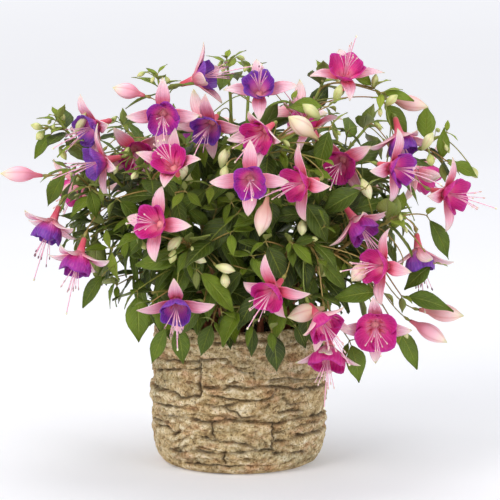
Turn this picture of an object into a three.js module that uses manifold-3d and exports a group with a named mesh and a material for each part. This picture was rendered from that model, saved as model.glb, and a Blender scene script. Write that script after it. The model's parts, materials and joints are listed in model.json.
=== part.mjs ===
import * as THREE from 'three';
import { mergeVertices } from 'three/addons/utils/BufferGeometryUtils.js';
import Module from 'manifold-3d';

// Potted fuchsia in a round cast-stone planter. Millimetres, +Z up, front towards -Y.
// The origin is the centre of the planter's flat base.

// Planter
const POT_HEIGHT = 146;
const POT_RIM_RADIUS = 84;
const POT_BELLY = 3;
const POT_FOOT_HEIGHT = 30;
const POT_FOOT_INSET = 12;
const POT_MOUTH_RADIUS = 76;
const POT_INNER_FLOOR_RADIUS = 66;
const POT_FLOOR = 10;
const STONE_COURSES = 7;
const STONE_RELIEF = 3;
const STONE_SINK = 0.4;
const JOINT_DEPTH = 1.6;
const JOINT_WAVE = 0.2;
const JOINT_SHARE = 0.06;
const RIM_ROUNDING = 4;
const MOUTH_STEP = 1;
const POT_COLUMNS = 36;

// Soil and the holes that the stems stand in
const SOIL_LEVEL = 125;
const SOIL_MOUND = 3;
const HOLE_DEPTH = 34;
const HOLE_RADIUS = 4.1;
const HOLE_SIDES = 5;
const FOOT_RADIUS = 3;
const CROWN_RISE = 4;
const GAP = 0.3;
const SOIL_CLEARANCE = 0.4;

// Stems and stalks
const STEM_TIP_RADIUS = 1.4;
const STALK_RADIUS = 0.8;
const OVARY_LENGTH = 7;
const OVARY_RADIUS = 2.1;
const STALK_LOWEST = 0.3;
const STALK_HIGHEST = 0.94;
const SHOOT_LENGTH = 66;
const SHOOT_FIRST = 0.24;
const SHOOT_SPREAD = 0.5;
const SHOOT_TURN = 2.4;

// Leaves
const LEAF_LENGTH = 47;
const LEAF_WIDTH = 25;
const LEAF_THICKNESS = 0.8;
const LEAF_ROOT = 0.7;
const LEAF_SPACING = 68;
const LEAF_FIRST = 0.2;
const LEAF_LAST = 0.92;
const SHOOT_LEAF_FIRST = 0.9;
const SHOOT_LEAF_SHARE = 0.95;

// Flowers
const TUBE_LENGTH = 15;
const TUBE_RADIUS = 4.6;
const TUBE_BACK_RADIUS = 1.9;
const SEPAL_LENGTH = 35;
const SEPAL_WIDTH = 12;
const SEPAL_THICKNESS = 0.8;
const SEPAL_ROOT_ANGLE = 34;
const COROLLA_REACH = 20;
const COROLLA_RADIUS = 16;
const PETAL_RUFFLE = 1.6;
const STAMEN_LENGTH = 46;
const STYLE_LENGTH = 60;
const FILAMENT_RADIUS = 0.6;
const ANTHER_RADIUS = 1.3;

// How far a flower's calyx runs into its stalk where both are one node
const FUSED_OVERLAP = 1.5;

// How many places are tried for a piece before it is left out
const BLOOM_TRIES = 12;
const STALK_TRIES = 30;
const SHOOT_TRIES = 10;
const LEAF_TRIES = 12;

// Points closer than this are merged after a join
const MERGE_DISTANCE = 0.02;

// Half the clearance that a new piece keeps to the pieces of its neighbours
const GUARD = 0.4;

// Each main stem: the spot where it leaves the soil, the point that it rises towards, the point
// where it arches over, its tip, and how many side shoots it has
const STEMS = [
  { name: 'stem_left_low', foot: [-50, -12], rise: [-56, -16, 190], arch: [-105, -40, 250],
    tip: [-150, -18, 282], shoots: 2 },
  { name: 'stem_left_high', foot: [-36, 10], rise: [-40, 14, 240], arch: [-140, -14, 285],
    tip: [-181, -26, 352], shoots: 2 },
  { name: 'stem_left_top', foot: [-22, -12], rise: [-26, -14, 250], arch: [-62, -48, 320],
    tip: [-80, -62, 398], shoots: 1 },
  { name: 'stem_front_left', foot: [-31, -36], rise: [-38, -46, 215], arch: [-66, -82, 262],
    tip: [-92, -92, 312], shoots: 1 },
  { name: 'stem_front_low', foot: [-14, -52], rise: [-20, -64, 190], arch: [-26, -88, 232],
    tip: [-52, -118, 240], shoots: 2 },
  { name: 'stem_front_mid', foot: [2, -28], rise: [3, -36, 240], arch: [14, -76, 290],
    tip: [34, -104, 338], shoots: 1 },
  { name: 'stem_top', foot: [-4, 2], rise: [-5, 4, 280], arch: [-6, -8, 350],
    tip: [-12, -6, 406], shoots: 1 },
  { name: 'stem_front_right', foot: [19, -50], rise: [24, -62, 190], arch: [42, -92, 236],
    tip: [68, -112, 238], shoots: 2 },
  { name: 'stem_right_low', foot: [42, -34], rise: [52, -42, 195], arch: [100, -76, 236],
    tip: [158, -88, 262], shoots: 1 },
  { name: 'stem_right_high', foot: [48, -4], rise: [58, -8, 220], arch: [120, -30, 290],
    tip: [206, -14, 334], shoots: 2 },
  { name: 'stem_right_top', foot: [22, -6], rise: [27, -6, 270], arch: [62, -10, 335],
    tip: [88, 6, 392], shoots: 1 },
  { name: 'stem_back_left', foot: [-28, 38], rise: [-36, 50, 215], arch: [-82, 84, 290],
    tip: [-120, 104, 326], shoots: 2 },
  { name: 'stem_back_mid', foot: [4, 34], rise: [6, 44, 250], arch: [6, 74, 340],
    tip: [12, 88, 386], shoots: 3 },
  { name: 'stem_back_right', foot: [36, 34], rise: [46, 46, 225], arch: [98, 78, 292],
    tip: [136, 98, 330], shoots: 2 },
];

// Each open flower: the middle of its mouth, the way it faces, the stem that bears it, the place
// along that stem where its stalk leaves, the colour of its petals and how far its sepals fold back
const BLOOMS = [
  { name: 'bloom_01', throat: [-73, -112, 367], facing: [0, -0.95, -0.2], stem: 'stem_left_top',
    from: 0.72, petals: 'purple', fold: 92 },
  { name: 'bloom_02', throat: [-129, -72, 315], facing: [-0.9, -0.4, -0.15],
    stem: 'stem_left_high', from: 0.6, petals: 'violet', fold: 96 },
  { name: 'bloom_03', throat: [-183, -42, 251], facing: [-0.35, -0.3, -0.85],
    stem: 'stem_left_low', from: 0.92, petals: 'violet', fold: 94 },
  { name: 'bloom_04', throat: [-155, -84, 226], facing: [-0.25, -0.4, -0.85],
    stem: 'stem_left_low', from: 0.75, petals: 'purple', fold: 88 },
  { name: 'bloom_05', throat: [-76, -134, 262], facing: [-0.5, -0.8, 0.25],
    stem: 'stem_front_left', from: 0.62, petals: 'magenta', fold: 98 },
  { name: 'bloom_06', throat: [-60, -156, 191], facing: [0, -0.83, -0.55],
    stem: 'stem_front_low', from: 0.9, petals: 'violet', fold: 86 },
  { name: 'bloom_07', throat: [35, -158, 204], facing: [-0.45, -0.75, -0.4],
    stem: 'stem_front_right', from: 0.7, petals: 'magenta', fold: 104 },
  { name: 'bloom_08', throat: [76, -150, 176], facing: [0.5, -0.6, -0.6],
    stem: 'stem_front_right', from: 0.92, petals: 'magenta', fold: 60 },
  { name: 'bloom_09', throat: [133, -118, 160], facing: [0, -0.95, -0.25],
    stem: 'stem_right_low', from: 0.6, petals: 'magenta', fold: 82 },
  { name: 'bloom_10', throat: [88, -112, 138], facing: [-0.1, -0.5, -0.85],
    stem: 'stem_front_right', from: 0.8, petals: 'magenta', fold: 66 },
  { name: 'bloom_11', throat: [143, -132, 221], facing: [-0.75, -0.6, 0.1],
    stem: 'stem_right_low', from: 0.82, petals: 'magenta', fold: 100 },
  { name: 'bloom_12', throat: [176, -74, 228], facing: [0.1, -0.3, -0.9],
    stem: 'stem_right_low', from: 0.97, petals: 'violet', fold: 70 },
  { name: 'bloom_13', throat: [201, -60, 281], facing: [0.8, -0.6, -0.1],
    stem: 'stem_right_high', from: 0.8, petals: 'magenta', fold: 92 },
  { name: 'bloom_14', throat: [147, -100, 313], facing: [0.75, -0.6, -0.1],
    stem: 'stem_right_high', from: 0.62, petals: 'purple', fold: 96 },
  { name: 'bloom_15', throat: [104, -34, 390], facing: [0.1, -0.5, 0.75],
    stem: 'stem_right_top', from: 0.8, petals: 'magenta', fold: 90 },
  { name: 'bloom_16', throat: [20, -68, 380], facing: [0, -0.7, 0.6],
    stem: 'stem_top', from: 0.78, petals: 'violet', fold: 84 },
  { name: 'bloom_17', throat: [-26, -84, 354], facing: [-0.3, -0.8, -0.3],
    stem: 'stem_top', from: 0.62, petals: 'violet', fold: 84 },
  { name: 'bloom_18', throat: [26, -122, 352], facing: [-0.5, -0.75, -0.3],
    stem: 'stem_front_mid', from: 0.9, petals: 'magenta', fold: 60 },
  { name: 'bloom_19', throat: [-62, -140, 318], facing: [-0.25, -0.7, 0.6],
    stem: 'stem_front_left', from: 0.85, petals: 'magenta', fold: 62 },
  { name: 'bloom_20', throat: [11, -166, 312], facing: [0, -1, -0.1],
    stem: 'stem_front_mid', from: 0.75, petals: 'purple', fold: 96 },
  { name: 'bloom_21', throat: [66, -138, 304], facing: [-0.75, -0.62, -0.05],
    stem: 'stem_front_mid', from: 0.97, petals: 'magenta', fold: 92 },
  { name: 'bloom_22', throat: [-44, -58, 392], facing: [0.85, -0.2, 0.3],
    stem: 'stem_left_top', from: 0.85, petals: 'violet', fold: 62 },
  { name: 'bloom_23', throat: [-138, -46, 346], facing: [-0.7, -0.6, -0.2],
    stem: 'stem_left_high', from: 0.8, petals: 'violet', fold: 78, fused: true },
  { name: 'bloom_24', throat: [158, -30, 336], facing: [0.2, -0.4, -0.8],
    stem: 'stem_right_high', from: 0.74, petals: 'violet', fold: 80, fused: true },
  { name: 'bloom_25', throat: [-160, 86, 268], facing: [-0.6, 0.3, -0.7],
    stem: 'stem_back_left', from: 0.8, petals: 'magenta', fold: 92, fused: true },
  { name: 'bloom_26', throat: [-100, 146, 262], facing: [-0.2, 0.75, -0.6],
    stem: 'stem_back_left', from: 0.95, petals: 'violet', fold: 88, fused: true },
  { name: 'bloom_27', throat: [-38, 142, 322], facing: [-0.3, 0.85, -0.4],
    stem: 'stem_back_mid', from: 0.78, petals: 'purple', fold: 94, fused: true },
  { name: 'bloom_28', throat: [56, 138, 334], facing: [0.4, 0.8, -0.4],
    stem: 'stem_back_mid', from: 0.92, petals: 'magenta', fold: 92, fused: true },
  { name: 'bloom_29', throat: [112, 144, 262], facing: [0.1, 0.75, -0.65],
    stem: 'stem_back_right', from: 0.8, petals: 'violet', fold: 90, fused: true },
  { name: 'bloom_30', throat: [180, 80, 282], facing: [0.7, 0.35, -0.6],
    stem: 'stem_back_right', from: 0.94, petals: 'magenta', fold: 92, fused: true },
];

// Each bud: the end of its ovary, its tip, the stem that bears it, where its stalk leaves that
// stem, and the greatest radius of the bud
const BUDS = [
  { end: [-193, -60, 298], tip: [-233, -78, 304], stem: 'stem_left_high', from: 0.66, radius: 7 },
  { end: [-92, -66, 378], tip: [-123, -72, 388], stem: 'stem_left_top', from: 0.7, radius: 7 },
  { end: [178, -60, 164], tip: [222, -66, 160], stem: 'stem_right_low', from: 0.7, radius: 8 },
  { end: [168, -86, 158], tip: [204, -100, 140], stem: 'stem_right_low', from: 0.64, radius: 7 },
  { end: [148, -4, 366], tip: [188, -10, 360], stem: 'stem_right_top', from: 0.7, radius: 7 },
  { end: [76, -96, 340], tip: [48, -118, 366], stem: 'stem_front_mid', from: 0.93, radius: 8 },
  { end: [28, -128, 288], tip: [20, -138, 252], stem: 'stem_front_mid', from: 0.6, radius: 7.5 },
  { end: [120, -98, 300], tip: [128, -112, 284], stem: 'stem_right_high', from: 0.5, radius: 5 },
  { end: [-192, -30, 338], tip: [-200, -34, 330], stem: 'stem_left_high', from: 0.97, radius: 4 },
  { end: [-158, -22, 336], tip: [-153, -26, 346], stem: 'stem_left_high', from: 0.9, radius: 4 },
  { end: [72, -40, 360], tip: [70, -50, 350], stem: 'stem_right_top', from: 0.82, radius: 4 },
  { end: [-12, -118, 316], tip: [-16, -126, 306], stem: 'stem_front_mid', from: 0.7, radius: 4 },
  { end: [-62, -128, 236], tip: [-66, -134, 224], stem: 'stem_front_low', from: 0.95, radius: 4 },
  { end: [-14, -124, 212], tip: [-12, -134, 200], stem: 'stem_front_low', from: 0.7, radius: 4.5 },
  { end: [188, -40, 316], tip: [190, -48, 306], stem: 'stem_right_high', from: 0.9, radius: 4 },
  { end: [230, -20, 300], tip: [236, -24, 290], stem: 'stem_right_high', from: 0.97, radius: 4 },
  { end: [62, -110, 262], tip: [61, -124, 250], stem: 'stem_front_mid', from: 0.55, radius: 4.5 },
  { end: [-140, 114, 296], tip: [-158, 130, 276], stem: 'stem_back_left', from: 0.9, radius: 7 },
  { end: [22, 134, 368], tip: [28, 160, 352], stem: 'stem_back_mid', from: 0.96, radius: 7 },
  { end: [152, 112, 304], tip: [170, 128, 286], stem: 'stem_back_right', from: 0.92, radius: 7 },
];

const PETAL_COLOURS = { violet: 0x5a2090, purple: 0x8c1a86, magenta: 0xc0157a };

const wasm = await Module();
wasm.setup();

// Vectors and curves

function vector(x, y, z) {
  return new THREE.Vector3(x, y, z);
}

function moved(point, direction, distance) {
  return point.clone().addScaledVector(direction, distance);
}

// A value between 0 and 1 that is always the same for the same keys
function chance(...keys) {
  const sum = keys.reduce((total, key, place) => total + key * (12.9898 + 65.2432 * place), 1.7);
  const wave = Math.sin(sum) * 43758.5453;
  return wave - Math.floor(wave);
}

function between(low, high, ...keys) {
  return low + (high - low) * chance(...keys);
}

function directionAt(curve, t) {
  const step = 0.01;
  return curve.getPoint(t + step).sub(curve.getPoint(t - step)).normalize();
}

// A direction square to the axis, at an angle round it; angle 0 is the side nearest to straight up
function around(axis, angle) {
  const reference = Math.abs(axis.z) > 0.95 ? vector(0, 1, 0) : vector(0, 0, 1);
  const across = vector().crossVectors(axis, reference).normalize();
  const upward = vector().crossVectors(across, axis);
  return upward.multiplyScalar(Math.cos(angle)).addScaledVector(across, Math.sin(angle));
}

function radians(degrees) {
  return degrees * Math.PI / 180;
}

// Solids

function solidFrom(geometry) {
  const bare = geometry.clone();
  bare.deleteAttribute('normal');
  bare.deleteAttribute('uv');
  const merged = mergeVertices(bare, 1e-4);
  return new wasm.Manifold(new wasm.Mesh({
    numProp: 3,
    vertProperties: new Float32Array(merged.attributes.position.array),
    triVerts: new Uint32Array(merged.index.array),
  }));
}

function solidFromTriangles(points, triangles) {
  const geometry = new THREE.BufferGeometry().setFromPoints(points);
  geometry.setIndex(triangles.flat());
  return solidFrom(geometry);
}

function geometryFrom(solid) {
  const mesh = outerSkin(solid.simplify(MERGE_DISTANCE)).getMesh();
  const geometry = new THREE.BufferGeometry();
  geometry.setAttribute('position', new THREE.BufferAttribute(mesh.vertProperties, 3));
  geometry.setIndex(new THREE.BufferAttribute(mesh.triVerts, 1));
  const flat = geometry.toNonIndexed();
  flat.computeVertexNormals();
  return flat;
}

function fuse(solids) {
  return wasm.Manifold.union(solids);
}

// The outer skin of a fused solid, without hollows that the fusing sealed
function outerSkin(solid) {
  return solid.decompose().reduce((best, body) => (body.volume() > best.volume() ? body : best));
}

// A tapered tube along a curve: a cylinder whose rings are moved onto the curve. Each ring is a
// place along the curve from 0 to 1 and a radius, and a last radius of 0 gives a pointed end.
function tube(curve, rings, sides, grow = 0) {
  const steps = rings.length - 1;
  const pointed = rings[steps][1] === 0;
  const geometry = new THREE.CylinderGeometry(pointed ? 0 : 1, 1, 1, sides, steps);
  const centres = rings.map(([t]) => curve.getPoint(t));
  let normal = null;
  const frames = rings.map(([, radius], i) => {
    const ahead = centres[Math.min(i + 1, steps)];
    const forward = ahead.clone().sub(centres[Math.max(i - 1, 0)]).normalize();
    normal = normal ? normal.clone().addScaledVector(forward, -normal.dot(forward)).normalize()
      : around(forward, 0);
    const binormal = vector().crossVectors(forward, normal);
    return { centre: centres[i], normal, binormal, radius: radius === 0 ? 0 : radius + grow };
  });
  const position = geometry.attributes.position;
  for (let i = 0; i < position.count; i += 1) {
    const ring = Math.round((position.getY(i) + 0.5) * steps);
    const frame = frames[ring];
    const reach = Math.hypot(position.getX(i), position.getZ(i));
    const share = reach < 1e-6 ? 0 : frame.radius / reach;
    const point = frame.centre.clone()
      .addScaledVector(frame.binormal, position.getX(i) * share)
      .addScaledVector(frame.normal, position.getZ(i) * share);
    position.setXYZ(i, point.x, point.y, point.z);
  }
  return solidFrom(geometry);
}

// The triangles between two rows of a blade, each walked from left to right
function strip(first, second) {
  const triangles = [];
  let a = 0;
  let b = 0;
  while (a < first.length - 1 || b < second.length - 1) {
    const nextA = first.length > 1 ? (a + 1) / (first.length - 1) : 2;
    const nextB = second.length > 1 ? (b + 1) / (second.length - 1) : 2;
    if (b < second.length - 1 && (nextB <= nextA || a === first.length - 1)) {
      triangles.push([first[a], second[b + 1], second[b]]);
      b += 1;
    } else {
      triangles.push([first[a], first[a + 1], second[b]]);
      a += 1;
    }
  }
  return triangles;
}

// A thin blade of even thickness through rows of points. Each row has its points from left to
// right and the way its face looks; both faces are split into the same triangles.
function blade(rows, thickness, grow = 0) {
  const points = [];
  const facings = [];
  const numbered = rows.map((row) => row.points.map((point) => {
    points.push(point);
    facings.push(row.face);
    return points.length - 1;
  }));
  const top = [];
  for (let i = 1; i < numbered.length; i += 1) {
    top.push(...strip(numbered[i - 1], numbered[i]));
  }
  const edges = new Set(top.flatMap(([a, b, c]) => [`${a},${b}`, `${b},${c}`, `${c},${a}`]));
  const count = points.length;
  const triangles = [];
  for (const [a, b, c] of top) {
    triangles.push([a, b, c], [c + count, b + count, a + count]);
    for (const [from, to] of [[a, b], [b, c], [c, a]]) {
      if (!edges.has(`${to},${from}`)) {
        triangles.push([to, from, from + count], [to, from + count, to + count]);
      }
    }
  }
  const half = thickness / 2 + grow;
  const upper = points.map((point, i) => moved(point, facings[i], half));
  const lower = points.map((point, i) => moved(point, facings[i], -half));
  return solidFromTriangles([...upper, ...lower], triangles);
}

// A closed body through rings of points, each ring counter-clockwise seen from the last one's side,
// with a middle point that closes each end
function ringBody(rings, firstMiddle, lastMiddle) {
  const columns = rings[0].length;
  const points = rings.flat();
  const first = points.push(firstMiddle) - 1;
  const last = points.push(lastMiddle) - 1;
  const lastRing = (rings.length - 1) * columns;
  const triangles = [];
  for (let column = 0; column < columns; column += 1) {
    const next = (column + 1) % columns;
    for (let low = 0; low < lastRing; low += columns) {
      const high = low + columns;
      triangles.push([low + column, low + next, high + next]);
      triangles.push([low + column, high + next, high + column]);
    }
    triangles.push([first, next, column]);
    triangles.push([last, lastRing + column, lastRing + next]);
  }
  return solidFromTriangles(points, triangles);
}

// Keeping the pieces of one node clear of the others

const placed = [];

function boxesMeet(a, b) {
  return [0, 1, 2].every((axis) => a.min[axis] < b.max[axis] && b.min[axis] < a.max[axis]);
}

function crosses(solid, other) {
  if (!boxesMeet(solid.boundingBox(), other.box)) return false;
  return solid.intersect(other.guard).volume() > 1e-6;
}

// A piece may run into what its own node holds, except into the blades already there
function isClear(piece, owner) {
  return placed.every((other) => {
    if (other.owner !== owner) return !crosses(piece.solid, other);
    return !other.spread || !piece.spread || !crosses(piece.spread, other.spread);
  });
}

function guarded(solid) {
  return { guard: solid, box: solid.boundingBox() };
}

function place(piece, owner) {
  placed.push({
    owner,
    ...guarded(piece.guard),
    spread: piece.spreadGuard ? guarded(piece.spreadGuard) : null,
  });
}

// The first of several tries at a piece that is clear of every other node
function firstClear(makePiece, tries, owner) {
  for (let attempt = 0; attempt < tries; attempt += 1) {
    const piece = makePiece(attempt);
    if (isClear(piece, owner)) {
      place(piece, owner);
      return piece;
    }
  }
  return null;
}

// Planter: the outline of its wall, then the relief of flat stones stacked in uneven courses

function plainRadius(z) {
  const belly = POT_BELLY * Math.sin(Math.PI * z / POT_HEIGHT);
  const below = Math.max(0, 1 - z / POT_FOOT_HEIGHT);
  const foot = POT_FOOT_INSET * (1 - Math.sqrt(1 - below * below));
  return POT_RIM_RADIUS + belly - foot;
}

function jointHeight(joint, angle) {
  if (joint === 0) return 0;
  if (joint === STONE_COURSES) return POT_HEIGHT;
  const course = POT_HEIGHT / STONE_COURSES;
  const wave = Math.sin(angle * (2 + joint % 3) + joint * 2.1) + 0.5 * Math.sin(angle * 5 + joint);
  return course * joint + wave * course * JOINT_WAVE;
}

function stoneFace(course, angle) {
  const stones = 5 + course % 3;
  const turn = (angle / (2 * Math.PI) + chance(course)) * stones;
  const stone = Math.floor(turn) % stones;
  const nearJoint = Math.min(turn - Math.floor(turn), 1 - (turn - Math.floor(turn)));
  const recess = nearJoint < JOINT_SHARE ? JOINT_DEPTH : 0;
  return STONE_RELIEF * (chance(course, stone) - STONE_SINK) - recess;
}

function outerPoint(angle, z, relief) {
  const radius = plainRadius(z) + relief;
  return vector(radius * Math.cos(angle), radius * Math.sin(angle), z);
}

function planterRings() {
  const rings = [];
  const ring = (pointAt) => rings.push(Array.from({ length: POT_COLUMNS },
    (_, column) => pointAt(2 * Math.PI * column / POT_COLUMNS)));
  ring((angle) => outerPoint(angle, 0, 0));
  for (let course = 0; course < STONE_COURSES; course += 1) {
    if (course > 0) {
      ring((angle) => outerPoint(angle, jointHeight(course, angle), -JOINT_DEPTH));
    }
    ring((angle) => {
      const middle = (jointHeight(course, angle) + jointHeight(course + 1, angle)) / 2;
      return outerPoint(angle, middle, stoneFace(course, angle));
    });
  }
  ring((angle) => outerPoint(angle, POT_HEIGHT, -RIM_ROUNDING));
  ring((angle) => vector(POT_MOUTH_RADIUS * Math.cos(angle), POT_MOUTH_RADIUS * Math.sin(angle),
    POT_HEIGHT - MOUTH_STEP));
  ring((angle) => vector(POT_INNER_FLOOR_RADIUS * Math.cos(angle),
    POT_INNER_FLOOR_RADIUS * Math.sin(angle), POT_FLOOR));
  return rings;
}

function planterSolid() {
  return ringBody(planterRings(), vector(0, 0, 0), vector(0, 0, POT_FLOOR));
}

// Soil: it fills the planter up to a little below the rim, with a plain hole for each stem's foot

function innerRadius(z) {
  const share = (z - POT_FLOOR) / (POT_HEIGHT - MOUTH_STEP - POT_FLOOR);
  return POT_INNER_FLOOR_RADIUS + (POT_MOUTH_RADIUS - POT_INNER_FLOOR_RADIUS) * share;
}

function soilSolid() {
  const bottom = POT_FLOOR + GAP;
  const profile = [
    new THREE.Vector2(0, bottom),
    new THREE.Vector2(innerRadius(bottom) - SOIL_CLEARANCE, bottom),
    new THREE.Vector2(innerRadius(SOIL_LEVEL) - SOIL_CLEARANCE, SOIL_LEVEL),
    new THREE.Vector2(innerRadius(SOIL_LEVEL) * 0.5, SOIL_LEVEL + SOIL_MOUND * 0.8),
    new THREE.Vector2(0, SOIL_LEVEL + SOIL_MOUND),
  ];
  const lathe = new THREE.LatheGeometry(profile, POT_COLUMNS / 2, Math.PI / 2);
  lathe.rotateX(Math.PI / 2);
  const plain = solidFrom(lathe);
  const holes = STEMS.map(({ foot }) => {
    const hole = new THREE.CylinderGeometry(HOLE_RADIUS, HOLE_RADIUS, HOLE_DEPTH + 20, HOLE_SIDES);
    hole.rotateX(Math.PI / 2);
    hole.translate(foot[0], foot[1], SOIL_LEVEL + 10 - HOLE_DEPTH / 2);
    return solidFrom(hole);
  });
  return plain.subtract(fuse(holes));
}

// Stems: a straight foot in its hole, then a curve that rises and arches over

class StemCurve extends THREE.Curve {
  constructor({ foot, rise, arch, tip }) {
    super();
    this.bottom = vector(foot[0], foot[1], SOIL_LEVEL - HOLE_DEPTH + GAP);
    this.above = new THREE.CubicBezierCurve3(vector(foot[0], foot[1], SOIL_LEVEL + CROWN_RISE),
      vector(...rise), vector(...arch), vector(...tip));
  }

  // From 0 to 1 on the part above the soil, and down to -1 at the bottom of the foot
  getPoint(t) {
    if (t >= 0) return this.above.getPoint(t);
    return this.above.getPoint(0).lerp(this.bottom, -t);
  }
}

function stemPiece(curve) {
  const thin = (t) => FOOT_RADIUS - 0.3 + (STEM_TIP_RADIUS - FOOT_RADIUS + 0.3) * t;
  const rings = [0.16, 0.32, 0.48, 0.64, 0.8, 0.95].map((t) => [t, thin(t)]);
  return tubePiece(curve, [[-1, FOOT_RADIUS], [0, FOOT_RADIUS - 0.2], ...rings, [1, 0]], 4);
}

function shootCurve(curve, t, angle, length) {
  const root = curve.getPoint(t);
  const forward = directionAt(curve, t);
  const out = around(forward, angle);
  const end = moved(moved(root, out, length * 0.85), forward, length * 0.45);
  end.z -= length * 0.12;
  return new THREE.CubicBezierCurve3(root, moved(root, out, length * 0.3),
    moved(moved(root, out, length * 0.6), forward, length * 0.3), end);
}

function tubePiece(curve, rings, sides) {
  const guard = tube(curve, rings, sides, GUARD);
  return { curve, solid: tube(curve, rings, sides), guard, spreadGuard: guard };
}

function shootPiece(curve, t, angle, length) {
  return tubePiece(shootCurve(curve, t, angle, length),
    [[0, 1.5], [0.5, 1.4], [0.93, 1.3], [1, 0]], 4);
}

// Leaves: opposite pairs, each pair turned a quarter round the stem from the one below

function leafRows(root, along, face, length, width, curl) {
  const side = vector().crossVectors(along, face).normalize();
  const at = (forward, sideways, lift) => moved(moved(moved(root, along, forward * length),
    side, sideways * width), face, lift * length);
  return [
    { points: [at(0, 0, 0)], face },
    { points: [at(0.3, -0.47, 0.03 + curl), at(0.33, 0.47, 0.03)], face },
    { points: [at(0.7, -0.36, -0.02), at(0.66, 0, -0.05), at(0.64, 0.37, -0.02 - curl)], face },
    { points: [at(1, 0, -0.13)], face },
  ];
}

function leafPiece(curve, t, station, side, attempt, length, seed) {
  const forward = directionAt(curve, t);
  const widest = 1.2 * Math.min(attempt, 4) / 4;
  const aside = between(-widest, widest, attempt, seed, 3);
  const out = around(forward, station * Math.PI / 2 + side * Math.PI + seed + aside);
  const root = moved(curve.getPoint(t), out, LEAF_ROOT);
  const droop = between(0.05, 0.75, station, side, seed, attempt) + 0.5 * (1 - t);
  const along = moved(out, forward, 0.35 + t * 0.25);
  along.z -= droop;
  along.normalize();
  const face = vector(0, 0, 1).addScaledVector(along, -along.z);
  if (face.length() < 0.2) face.copy(around(along, 0));
  face.normalize();
  const size = length * (1 - 0.05 * Math.floor(attempt / 3));
  const width = LEAF_WIDTH * size / LEAF_LENGTH;
  const curl = between(-0.04, 0.04, station, side, seed);
  const rows = leafRows(root, along, face, size, width, curl);
  return {
    solid: blade(rows, LEAF_THICKNESS),
    guard: blade(rows, LEAF_THICKNESS, GUARD),
    spread: blade(rows.slice(1), LEAF_THICKNESS),
    spreadGuard: blade(rows.slice(1), LEAF_THICKNESS, GUARD),
  };
}

// Stalks, ovaries and buds

function stalkCurve(stem, t, end, facing, lift) {
  const root = stem.getPoint(t);
  const span = root.distanceTo(end);
  const leave = directionAt(stem, t).multiplyScalar(0.5).add(vector(0, 0, lift)).normalize();
  return new THREE.CubicBezierCurve3(root, moved(root, leave, span * 0.35),
    moved(end, facing, -span * 0.4), end);
}

function stalkTries(stem, from, end, facing, attempt) {
  const step = [0, 1, -1, 2, -2, 3, -3, 4, -4, 5][attempt % 10];
  const t = Math.min(STALK_HIGHEST, Math.max(STALK_LOWEST, from + step * 0.03));
  return stalkCurve(stem, t, end, facing, 0.8 - 0.5 * Math.floor(attempt / 10));
}

function stalkPiece(stem, from, end, facing, attempt) {
  const curve = stalkTries(stem, from, end, facing, attempt);
  const length = curve.getLength();
  const rings = [[0, STALK_RADIUS + 0.2], [0.45, STALK_RADIUS], [1 - OVARY_LENGTH / length, 0.9],
    [1 - 0.45 * OVARY_LENGTH / length, OVARY_RADIUS], [1, OVARY_RADIUS * 0.75]];
  return tubePiece(curve, rings, 3);
}

class BudCurve extends THREE.Curve {
  constructor(stalk, tip) {
    super();
    this.stalk = stalk;
    this.end = stalk.getPoint(1);
    this.tip = tip;
  }

  // From 0 to 1 on the stalk, and on to 2 at the tip of the bud
  getPoint(t) {
    return t <= 1 ? this.stalk.getPoint(t) : this.end.clone().lerp(this.tip, t - 1);
  }
}

function budPiece(bud, stem, attempt) {
  const end = vector(...bud.end);
  const tip = vector(...bud.tip);
  const facing = tip.clone().sub(end).normalize();
  const curve = new BudCurve(stalkTries(stem, bud.from, end, facing, attempt), tip);
  const rings = [[0, STALK_RADIUS + 0.2], [0.5, STALK_RADIUS], [0.95, STALK_RADIUS],
    [1.25, bud.radius * 0.62], [1.6, bud.radius], [2, 0]];
  return tubePiece(curve, rings, 4);
}

// Flowers, each in its own directions: the axis through the mouth and the ways out from it

function flowerFrame(bloom, roll) {
  const axis = vector(...bloom.facing).normalize();
  return { throat: vector(...bloom.throat), axis, out: (angle) => around(axis, angle + roll) };
}

function sepalPoints(flower, angle, fold) {
  const out = flower.out(angle);
  const side = vector().crossVectors(flower.axis, out);
  const lean = (degrees) => out.clone().multiplyScalar(Math.sin(radians(degrees)))
    .addScaledVector(flower.axis, Math.cos(radians(degrees)));
  const base = moved(flower.throat, out, TUBE_RADIUS);
  const middle = moved(base, lean(fold * 0.8), SEPAL_LENGTH * 0.46);
  const tip = moved(middle, lean(fold * 1.15), SEPAL_LENGTH * 0.54);
  return {
    points: [moved(middle, side, -SEPAL_WIDTH / 2), moved(middle, side, SEPAL_WIDTH / 2), tip],
    facings: [lean(fold - 90), lean(fold - 90), lean(fold * 1.15 - 90)],
  };
}

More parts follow.
